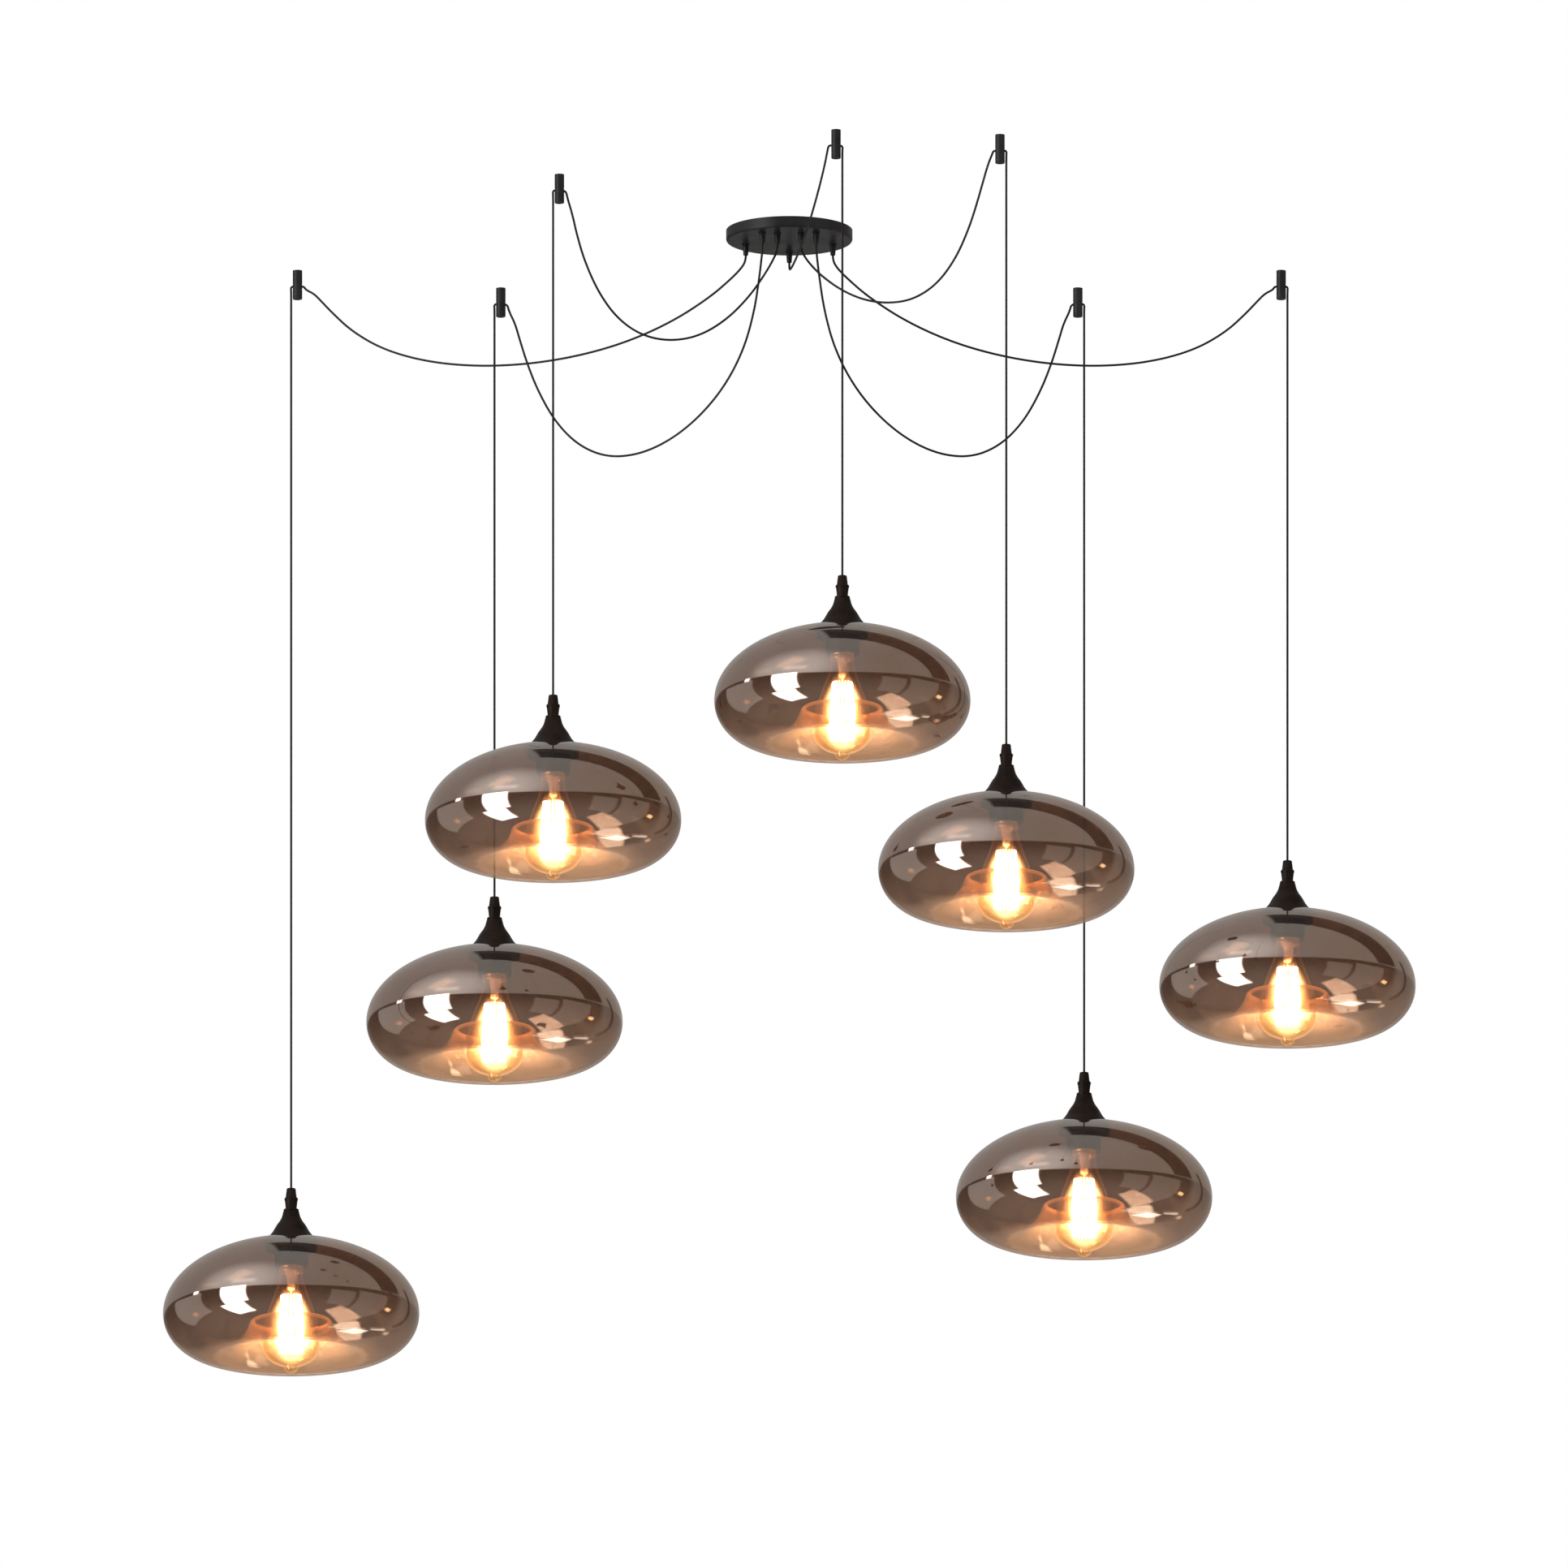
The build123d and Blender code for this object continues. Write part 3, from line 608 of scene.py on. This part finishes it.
# %% Material helpers
class Finish:
    def __init__(self, name):
        self.material = bpy.data.materials.new(name)
        self.material.use_nodes = True
        self.tree = self.material.node_tree
        self.shader = self.tree.nodes["Principled BSDF"]
        self.output = self.tree.nodes["Material Output"]

    def add(self, kind, **settings):
        node = self.tree.nodes.new(kind)
        for key, value in settings.items():
            setattr(node, key, value)
        return node

    def join(self, start, end):
        self.tree.links.new(start, end)

    def noise(self, scale, detail=3.0, rough=0.5, stretch=(1, 1, 1)):
        place = self.add("ShaderNodeTexCoord")
        mapping = self.add("ShaderNodeMapping")
        mapping.inputs["Scale"].default_value = stretch
        texture = self.add("ShaderNodeTexNoise")
        texture.inputs["Scale"].default_value = scale
        texture.inputs["Detail"].default_value = detail
        texture.inputs["Roughness"].default_value = rough
        self.join(place.outputs["Object"], mapping.inputs["Vector"])
        self.join(mapping.outputs["Vector"], texture.inputs["Vector"])
        return texture.outputs["Fac"]

    def ramp(self, value, *stops):
        node = self.add("ShaderNodeValToRGB")
        while len(node.color_ramp.elements) < len(stops):
            node.color_ramp.elements.new(0.5)
        for element, (place, colour) in zip(node.color_ramp.elements, stops):
            element.position = place
            element.color = (*colour, 1)
        self.join(value, node.inputs["Fac"])
        return node.outputs["Color"]

    def span(self, value, low, high, start=0.3, end=0.7):
        node = self.add("ShaderNodeMapRange")
        node.inputs["From Min"].default_value = start
        node.inputs["From Max"].default_value = end
        node.inputs["To Min"].default_value = low
        node.inputs["To Max"].default_value = high
        self.join(value, node.inputs["Value"])
        return node.outputs["Result"]

    def maths(self, operation, first, second):
        node = self.add("ShaderNodeMath", operation=operation)
        for socket, value in zip(node.inputs, (first, second)):
            if isinstance(value, (int, float)):
                socket.default_value = value
            else:
                self.join(value, socket)
        return node.outputs["Value"]

    def bump(self, height, strength, distance):
        node = self.add("ShaderNodeBump")
        node.inputs["Strength"].default_value = strength
        node.inputs["Distance"].default_value = distance
        self.join(height, node.inputs["Height"])
        self.join(node.outputs["Normal"], self.shader.inputs["Normal"])

    def set(self, **values):
        for key, value in values.items():
            self.shader.inputs[key.replace("_", " ")].default_value = value


def wear(finish, *objects):
    for piece in objects:
        piece.data.materials.clear()
        piece.data.materials.append(finish.material)


print("finish helper ready")

# %% [markdown]
# Canopy, hooks and canopy grips are powder coated in satin black. The coat has a fine orange peel, and
# the shade of grey wanders a little.

# %% Satin black coat
black_coat = Finish("satin_black_coat")
cloud = black_coat.noise(34, 4, 0.6)
black_coat.join(black_coat.ramp(cloud, (0.3, (0.010, 0.010, 0.011)), (0.7, (0.020, 0.020, 0.022))),
                black_coat.shader.inputs["Base Color"])
black_coat.join(black_coat.span(cloud, 0.34, 0.48), black_coat.shader.inputs["Roughness"])
black_coat.bump(black_coat.noise(900, 2), 0.05, 0.0001)
black_coat.set(Specular_IOR_Level=0.16)
wear(black_coat, nodes["canopy_pan"], nodes["canopy_cord_grips"], nodes["ceiling_hooks"])
print("coated the ceiling set")

# %% [markdown]
# Cap and cord grip are dark bronze, almost black with a brown cast. Spinning leaves faint rings, so
# the noise is squeezed along Z into thin layers.

# %% Dark bronze
bronze = Finish("dark_bronze")
layers = bronze.noise(90, 3, 0.6, stretch=(0.4, 0.4, 14))
blotch = bronze.noise(60, 3)
bronze.join(bronze.ramp(blotch, (0.3, (0.008, 0.0046, 0.0034)), (0.75, (0.017, 0.0105, 0.008))),
            bronze.shader.inputs["Base Color"])
bronze.join(bronze.span(layers, 0.36, 0.54), bronze.shader.inputs["Roughness"])
bronze.bump(layers, 0.06, 0.0001)
bronze.set(Specular_IOR_Level=0.08)
wear(bronze, *pieces["trumpet_cap"], *pieces["grip_body"], *pieces["grip_nut"])
print("bronzed caps and grips")

# %% [markdown]
# Strap, screws and nuts are zinc plated steel. The terminal block is pale moulded plastic. The
# lampholder is black thermoset with a matte, slightly grainy skin. The cord's jacket is black rubber.

# %% Steel and terminal block
steel = Finish("zinc_plated_steel")
spangle = steel.noise(140, 4, 0.65)
steel.join(steel.ramp(spangle, (0.3, (0.42, 0.42, 0.44)), (0.7, (0.62, 0.62, 0.63))),
           steel.shader.inputs["Base Color"])
steel.join(steel.span(spangle, 0.26, 0.42), steel.shader.inputs["Roughness"])
steel.set(Metallic=1.0)
wear(steel, nodes["mounting_bracket"], nodes["canopy_screws"], nodes["canopy_lock_nuts"],
     nodes["hook_clamp_screws"])

block = Finish("block_plastic")
grain = block.noise(420, 3)
block.join(block.ramp(grain, (0.3, (0.74, 0.73, 0.69)), (0.7, (0.82, 0.81, 0.77))),
           block.shader.inputs["Base Color"])
block.bump(grain, 0.1, 0.0002)
block.set(Roughness=0.5)
wear(block, nodes["terminal_block"])
print("finished steel and terminal block")

# %% Lampholders and cords
holder = Finish("holder_thermoset")
speck = holder.noise(700, 3, 0.6)
holder.join(holder.ramp(speck, (0.3, (0.018, 0.017, 0.016)), (0.7, (0.034, 0.031, 0.029))),
            holder.shader.inputs["Base Color"])
holder.join(holder.span(speck, 0.42, 0.6), holder.shader.inputs["Roughness"])
holder.bump(speck, 0.12, 0.0002)
wear(holder, *[nodes[f"lampholder_{number}"] for number in range(1, len(lights) + 1)])

rubber = Finish("cord_rubber")
jacket = rubber.noise(900, 3, 0.6)
rubber.join(rubber.ramp(jacket, (0.3, (0.006, 0.006, 0.006)), (0.7, (0.012, 0.012, 0.012))),
            rubber.shader.inputs["Base Color"])
rubber.join(rubber.span(jacket, 0.5, 0.66), rubber.shader.inputs["Roughness"])
rubber.bump(jacket, 0.05, 0.0001)
rubber.set(Specular_IOR_Level=0.2)
wear(rubber, *cords, nodes["lead_tails"])
print("finished lampholders and cords")

# %% [markdown]
# ## Smoked mirror glass
# The shade is coated glass, half mirror and half window. A thin wall is clearest as a mix of two simple
# shaders: one lets light straight through and tints it brown, the other is a brown mirror. The share of
# the mirror grows with the coat's density and at glancing angles. Bare glass in the bell is clearer and
# warmer. Slow waves in the bump keep the reflections a little liquid, as in blown glass.

# %% Shade glass
smoke = Finish("smoked_mirror_glass")
density = smoke.add("ShaderNodeAttribute", attribute_name="coat").outputs["Fac"]
# The second point value is the painted glow: it sets orange emission and raises the mirror share on the
# lip, bell and roll foot
edge = smoke.add("ShaderNodeAttribute", attribute_name="painted_edge_glow").outputs["Fac"]
ripple = smoke.noise(9, 1.5, 0.4)
patch = smoke.noise(16, 2, 0.5)
glance = smoke.add("ShaderNodeLayerWeight").outputs["Facing"]
glance_strength = smoke.span(density, 0.15, 0.5, 0.2, 0.8)
glancing = smoke.maths("MULTIPLY", smoke.maths("POWER", glance, 4.0), glance_strength)
shown = smoke.maths("MULTIPLY", density, smoke.span(patch, 0.16, 0.20))
coated = smoke.maths("ADD", smoke.maths("ADD", glancing, shown), 0.11)
share = smoke.maths("ADD", coated, smoke.maths("MULTIPLY", edge, 0.35))
tint = smoke.ramp(density, (0.0, (0.88, 0.80, 0.725)), (0.3, (0.63, 0.535, 0.465)),
                  (1.0, (0.34, 0.235, 0.18)))
mirror = smoke.ramp(density, (0.0, (0.88, 0.60, 0.40)), (0.3, (0.80, 0.70, 0.62)),
                    (1.0, (0.80, 0.74, 0.69)))
smoke.join(mirror, smoke.shader.inputs["Base Color"])
smoke.join(smoke.span(density, 0.55, 0.97, 0.0, 0.3), smoke.shader.inputs["Metallic"])
# Painted glow: orange emission standing for lamp light caught in thick glass
smoke.join(smoke.span(edge, 0.0, 4.5, 0.0, 1.0), smoke.shader.inputs["Emission Strength"])
smoke.set(Roughness=0.025, Emission_Color=(1.0, 0.42, 0.13, 1))
smoke.bump(ripple, 0.06, 0.004)
window = smoke.add("ShaderNodeBsdfTransparent")
smoke.join(tint, window.inputs["Color"])
glass_mix = smoke.add("ShaderNodeMixShader")
smoke.join(share, glass_mix.inputs["Fac"])
smoke.join(window.outputs["BSDF"], glass_mix.inputs[1])
smoke.join(smoke.shader.outputs["BSDF"], glass_mix.inputs[2])
smoke.join(glass_mix.outputs["Shader"], smoke.output.inputs["Surface"])
wear(smoke, *pieces["blown_shade"])
print("glazed", len(pieces["blown_shade"]), "shades")

# %% [markdown]
# ## The lit bulb
# The bulb's glass is faintly amber and mostly a window, with a bright rim that is partly a reflection and
# partly a painted amber glow.

# %% Bulb glass finish
amber = Finish("amber_bulb_glass")
rim = amber.maths("POWER", amber.add("ShaderNodeLayerWeight").outputs["Facing"], 3.5)
streak = amber.noise(30, 2)
amber.join(amber.ramp(streak, (0.3, (1.0, 0.62, 0.28)), (0.7, (1.0, 0.72, 0.38))),
           amber.shader.inputs["Base Color"])
# Painted glow: amber emission on the glass, shown mostly at the rim where the mirror share is high
amber.set(Roughness=0.04, Metallic=1.0, Emission_Color=(1.0, 0.42, 0.10, 1), Emission_Strength=0.6)
clear = amber.add("ShaderNodeBsdfTransparent")
clear.inputs["Color"].default_value = (1.0, 0.95, 0.87, 1)
bulb_mix = amber.add("ShaderNodeMixShader")
amber.join(amber.maths("ADD", amber.maths("MULTIPLY", rim, 0.55), 0.04), bulb_mix.inputs["Fac"])
amber.join(clear.outputs["BSDF"], bulb_mix.inputs[1])
amber.join(amber.shader.outputs["BSDF"], bulb_mix.inputs[2])
amber.join(bulb_mix.outputs["Shader"], amber.output.inputs["Surface"])
wear(amber, *pieces["bulb_glass"])
print("glazed", len(pieces["bulb_glass"]), "bulbs")

# %% [markdown]
# The filament glows white hot. The bubbles of the painted halo add their light to what lies behind
# them, by the glow strength stored on their points.

# %% Filament and painted halo
hot_wire = Finish("glowing_filament")
flicker = hot_wire.noise(160, 2)
hot_wire.join(hot_wire.ramp(flicker, (0.3, (1.0, 0.84, 0.66)), (0.7, (1.0, 0.90, 0.76))),
              hot_wire.shader.inputs["Emission Color"])
hot_wire.set(Emission_Strength=80.0, Base_Color=(0.9, 0.6, 0.3, 1))
wear(hot_wire, *pieces["filament"])

painted_halo = Finish("painted_halo")
halo_strength = painted_halo.add("ShaderNodeAttribute", attribute_name="halo_glow_strength").outputs["Fac"]
swirl = painted_halo.span(painted_halo.noise(60, 2), 1.9, 2.7)
lamp_light = painted_halo.add("ShaderNodeEmission")
glow_colour = painted_halo.ramp(halo_strength, (0.0, (1.0, 0.58, 0.24)), (0.25, (1.0, 0.66, 0.30)),
                             (0.9, (1.0, 0.82, 0.55)))
painted_halo.join(glow_colour, lamp_light.inputs["Color"])
# Painted glow: the bubbles' emission stands in for the halo of light round the filament
painted_halo.join(painted_halo.maths("MULTIPLY", halo_strength, swirl), lamp_light.inputs["Strength"])
see_through = painted_halo.add("ShaderNodeBsdfTransparent")
both = painted_halo.add("ShaderNodeAddShader")
painted_halo.join(lamp_light.outputs["Emission"], both.inputs[0])
painted_halo.join(see_through.outputs["BSDF"], both.inputs[1])
painted_halo.join(both.outputs["Shader"], painted_halo.output.inputs["Surface"])
wear(painted_halo, *pieces["painted_filament_halo"])
print("lit", len(pieces["filament"]), "filaments")

# %% [markdown]
# The stem is glass with a faint painted glow, and the screw base is brass with a painted warm glow.

# %% Stem and base
lit_stem = Finish("lit_glass_stem")
veil = lit_stem.noise(120, 2)
lit_stem.join(lit_stem.ramp(veil, (0.3, (1.0, 0.50, 0.16)), (0.7, (1.0, 0.64, 0.28))),
              lit_stem.shader.inputs["Emission Color"])
# Painted glow: faint orange emission on the glass stem
lit_stem.set(Emission_Strength=0.2, Base_Color=(0.9, 0.75, 0.55, 1), Roughness=0.15)
wear(lit_stem, *pieces["bulb_stem"])

brass = Finish("bulb_brass")
tarnish = brass.noise(150, 3)
brass.join(brass.ramp(tarnish, (0.3, (0.62, 0.42, 0.18)), (0.7, (0.80, 0.58, 0.28))),
           brass.shader.inputs["Base Color"])
brass.join(brass.span(tarnish, 0.22, 0.38), brass.shader.inputs["Roughness"])
# Painted glow: warm emission on the brass base, standing for the lamp's light on it
brass.set(Metallic=1.0, Emission_Color=(1.0, 0.48, 0.14, 1), Emission_Strength=0.5)
wear(brass, *pieces["bulb_base"])
print("finished", len(pieces["bulb_stem"]), "stems and", len(pieces["bulb_base"]), "bases")

# %% [markdown]
# ## Studio
# The floor is pale and far below, out of the main view. It is one-sided: a view from below looks through
# its back. Mirrors don't see it.

# %% Floor
floor_size, floor_depth = 14, -2.5
deselect_everything()
bpy.ops.mesh.primitive_plane_add(size=floor_size, location=(0, 0, floor_depth))
floor = bpy.context.object
floor.name = "floor"
floor.visible_glossy = False
pale = Finish("pale_floor")
drift = pale.noise(2, 2)
pale.join(pale.ramp(drift, (0.3, (0.80, 0.80, 0.80)), (0.7, (0.84, 0.84, 0.84))),
          pale.shader.inputs["Base Color"])
pale.set(Roughness=0.8)
one_sided = pale.add("ShaderNodeMixShader")
pale.join(pale.add("ShaderNodeNewGeometry").outputs["Backfacing"], one_sided.inputs["Fac"])
pale.join(pale.shader.outputs["BSDF"], one_sided.inputs[1])
pale.join(pale.add("ShaderNodeBsdfTransparent").outputs["BSDF"], one_sided.inputs[2])
pale.join(one_sided.outputs["Shader"], pale.output.inputs["Surface"])
wear(pale, floor)
print("floor laid at", floor_depth)

# %% [markdown]
# Two large soft lamps light the metalwork, a key from the left and a fill from the right. Each bulb has a
# small warm lamp of its own.

# %% Lamps
studio_lamps = (("key", (-2.6, -3.2, 1.6), 2.0, 70), ("fill", (3.0, -2.2, 0.6), 2.2, 30))
lamp_target = Vector((0, 0, -0.5))
for name, place, size, power in studio_lamps:
    deselect_everything()
    bpy.ops.object.light_add(type="AREA", location=place)
    lamp = bpy.context.object
    lamp.name = name
    lamp.data.size = size
    lamp.data.energy = power
    lamp.rotation_euler = (lamp_target - Vector(place)).to_track_quat("-Z", "Y").to_euler()
    lamp.visible_glossy = False

glows, glow_drop = [], 8
for number, light in enumerate(lights, 1):
    deselect_everything()
    place = Vector((*light["axis"], -light["depth"] - glow_drop)) * mm
    bpy.ops.object.light_add(type="POINT", location=place)
    glow = bpy.context.object
    glow.name = f"bulb_glow_{number}"
    glow.data.energy = 0.45
    glow.data.color = (1.0, 0.55, 0.22)
    glow.data.shadow_soft_size = 0.012
    glow.visible_glossy = False
    glow.visible_camera = False
    glows.append(glow)
print("set", len(studio_lamps), "studio lamps and", len(glows), "bulb lamps")

# %% [markdown]
# ## The world
# The camera sees a white ground, and surfaces get soft, even room light. Mirrors see a studio instead,
# which is a matter of direction alone, so each pendant reflects it alike. The parts of a direction are
# east, north and up. From them come the turn round the lamp and the rise above the horizon. Small
# helpers add nodes that add, multiply or make a soft step.

# %% World and its helpers
world = bpy.data.worlds.new("studio")
bpy.context.scene.world = world
world.use_nodes = True
sky = world.node_tree
sky.nodes.clear()


def sky_node(kind, **settings):
    node = sky.nodes.new(kind)
    for key, value in settings.items():
        setattr(node, key, value)
    return node


def sky_maths(operation, *values):
    node = sky_node("ShaderNodeMath", operation=operation)
    for socket, value in zip(node.inputs, values):
        if isinstance(value, (int, float)):
            socket.default_value = value
        else:
            sky.links.new(value, socket)
    return node.outputs["Value"]


def sky_step(value, start, end, low=0.0, high=1.0):
    node = sky_node("ShaderNodeMapRange", interpolation_type="SMOOTHSTEP")
    for name, number in (("From Min", start), ("From Max", end), ("To Min", low), ("To Max", high)):
        node.inputs[name].default_value = number
    sky.links.new(value, node.inputs["Value"])
    return node.outputs["Result"]


def plus(first, second):
    return sky_maths("ADD", first, second)


def times(first, second):
    return sky_maths("MULTIPLY", first, second)


def without(share):
    return sky_maths("SUBTRACT", 1.0, share)


heading = sky_node("ShaderNodeSeparateXYZ")
sky.links.new(sky_node("ShaderNodeTexCoord").outputs["Generated"], heading.inputs["Vector"])
east, north, up = heading.outputs
azimuth = sky_maths("ARCTAN2", east, times(north, -1.0))
rise = sky_maths("ARCSINE", up)
print("sky helpers ready")

# %% [markdown]
# The ceiling is bright from a little above the horizon, and its edge stands higher at the sides than
# straight ahead. It is brightest towards the key light. A backdrop stands behind the lamp. The rest is
# dim, and less so downwards. A dark beam runs from overhead to the right.

# %% Ceiling, backdrop and beam
ceiling_edge = sky_maths("SUBTRACT", up, times(times(east, east), 0.1))
ceiling = sky_step(ceiling_edge, 0.16, 0.20)
backdrop = sky_step(plus(north, times(east, 0.5)), 0.78, 0.92, 0.0, 0.62)
bright = sky_maths("MAXIMUM", ceiling, backdrop)
toward_key = plus(times(east, -0.66), times(up, 0.47))
toward_key = sky_maths("SUBTRACT", toward_key, times(north, 0.59))
lit = plus(0.47, sky_step(toward_key, 0.66, 1.0, 0.0, 0.95))
dim = sky_step(up, 0.18, -0.95, 0.05, 0.26)
level = plus(times(bright, lit), times(without(bright), dim))

beam = plus(north, times(east, 0.2))
beam_width = times(sky_step(beam, 0.19, 0.215), sky_step(beam, 0.58, 0.61, 1.0, 0.0))
beam_length = times(sky_step(east, -0.10, -0.07), sky_step(up, 0.26, 0.32))
beam_dark = times(times(beam_width, beam_length), 0.93)
level = times(level, without(beam_dark))
print("ceiling and beam made,", len(sky.nodes), "nodes so far")

# %% [markdown]
# Posts darken the studio and soft boxes light it. Each row gives the turn and height of the middle, half
# the width and half the height, all in degrees, and how dark or bright it is. A blurred light lies on
# the dome, and a small copper glint shows at the right.


# %% Posts and soft boxes
def soft_box(turn, height, half_wide, half_high, edge=1.2):
    """A panel seen in the given direction, in degrees. Turn 0 is behind the camera."""
    aside = sky_maths("ABSOLUTE", sky_maths("SUBTRACT", azimuth, radians(turn)))
    above = sky_maths("ABSOLUTE", sky_maths("SUBTRACT", rise, radians(height)))
    across = sky_step(aside, radians(half_wide - edge), radians(half_wide + edge), 1.0, 0.0)
    tall = sky_step(above, radians(half_high - edge), radians(half_high + edge), 1.0, 0.0)
    return times(across, tall)


posts = ((132, -2, 2.5, 26, 0.8), (98, -11, 12, 16, 0.6))
for turn, height, half_wide, half_high, dark in posts:
    level = times(level, without(times(soft_box(turn, height, half_wide, half_high), dark)))
boxes = (
    (-54, -6, 12.5, 21, 8.0), (-60, -42, 13, 14, 8.0), (-96, 14, 3, 2.5, 8.0), (-108, -11, 20, 22, 0.55),
    (48, -17, 12, 20, 0.28), (80, -20, 16, 28, 0.30), (130, -59, 20, 6, 1.0), (149, -50, 9, 4, 6.0),
    (136, -40, 2.5, 5, 3.0),
)
for turn, height, half_wide, half_high, power in boxes:
    level = plus(level, times(soft_box(turn, height, half_wide, half_high), power))
level = plus(level, times(soft_box(-46, 27, 12, 4, edge=3.5), 0.7))
glint = times(soft_box(102, -16, 3, 3), 5.0)
print("studio has", len(sky.nodes), "nodes")

# %% [markdown]
# Three skies are joined by the kind of ray. A mirror's ray gets the studio, a little warmer towards the
# right. The camera's own ray, also through clear glass, gets plain white. All other rays get room light.
# A line of sight may cross many thin walls, so more of them are allowed than usual.

# %% Join the world's three skies
mirror_sky = sky_node("ShaderNodeBackground")
warmth = sky_node("ShaderNodeValToRGB")
for element, colour in zip(warmth.color_ramp.elements, ((1.0, 0.985, 0.965, 1), (1.0, 0.90, 0.80, 1))):
    element.color = colour
sky.links.new(sky_step(east, -0.2, 0.8), warmth.inputs["Fac"])
sky.links.new(warmth.outputs["Color"], mirror_sky.inputs["Color"])
sky.links.new(level, mirror_sky.inputs["Strength"])
copper_glint = sky_node("ShaderNodeBackground")
copper_glint.inputs["Color"].default_value = (1.0, 0.62, 0.30, 1)
sky.links.new(glint, copper_glint.inputs["Strength"])
mirrors_see = sky_node("ShaderNodeAddShader")
sky.links.new(mirror_sky.outputs["Background"], mirrors_see.inputs[0])
sky.links.new(copper_glint.outputs["Background"], mirrors_see.inputs[1])
room_sky = sky_node("ShaderNodeBackground")
room_sky.inputs["Color"].default_value = (1.0, 0.99, 0.98, 1)
room_sky.inputs["Strength"].default_value = 0.75
white_sky = sky_node("ShaderNodeBackground")
white_sky.inputs["Color"].default_value = (1, 1, 1, 1)
white_sky.inputs["Strength"].default_value = 1.0

ray = sky_node("ShaderNodeLightPath")
mirror_or_room = sky_node("ShaderNodeMixShader")
sky.links.new(ray.outputs["Is Glossy Ray"], mirror_or_room.inputs["Fac"])
sky.links.new(room_sky.outputs["Background"], mirror_or_room.inputs[1])
sky.links.new(mirrors_see.outputs["Shader"], mirror_or_room.inputs[2])
seen = sky_maths("MAXIMUM", ray.outputs["Is Camera Ray"], ray.outputs["Is Transmission Ray"])
whole_sky = sky_node("ShaderNodeMixShader")
sky.links.new(seen, whole_sky.inputs["Fac"])
sky.links.new(mirror_or_room.outputs["Shader"], whole_sky.inputs[1])
sky.links.new(white_sky.outputs["Background"], whole_sky.inputs[2])
sky.links.new(whole_sky.outputs["Shader"], sky_node("ShaderNodeOutputWorld").inputs["Surface"])
bpy.context.scene.cycles.transparent_max_bounces = 64
print("world joined")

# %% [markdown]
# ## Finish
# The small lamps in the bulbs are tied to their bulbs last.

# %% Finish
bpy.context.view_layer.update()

# The small lamps follow their bulbs, and are tied to them last, as they aren't part of the size
for number, glow in enumerate(glows, 1):
    glow.parent = frame["bodies"][f"bulb_{number}"]
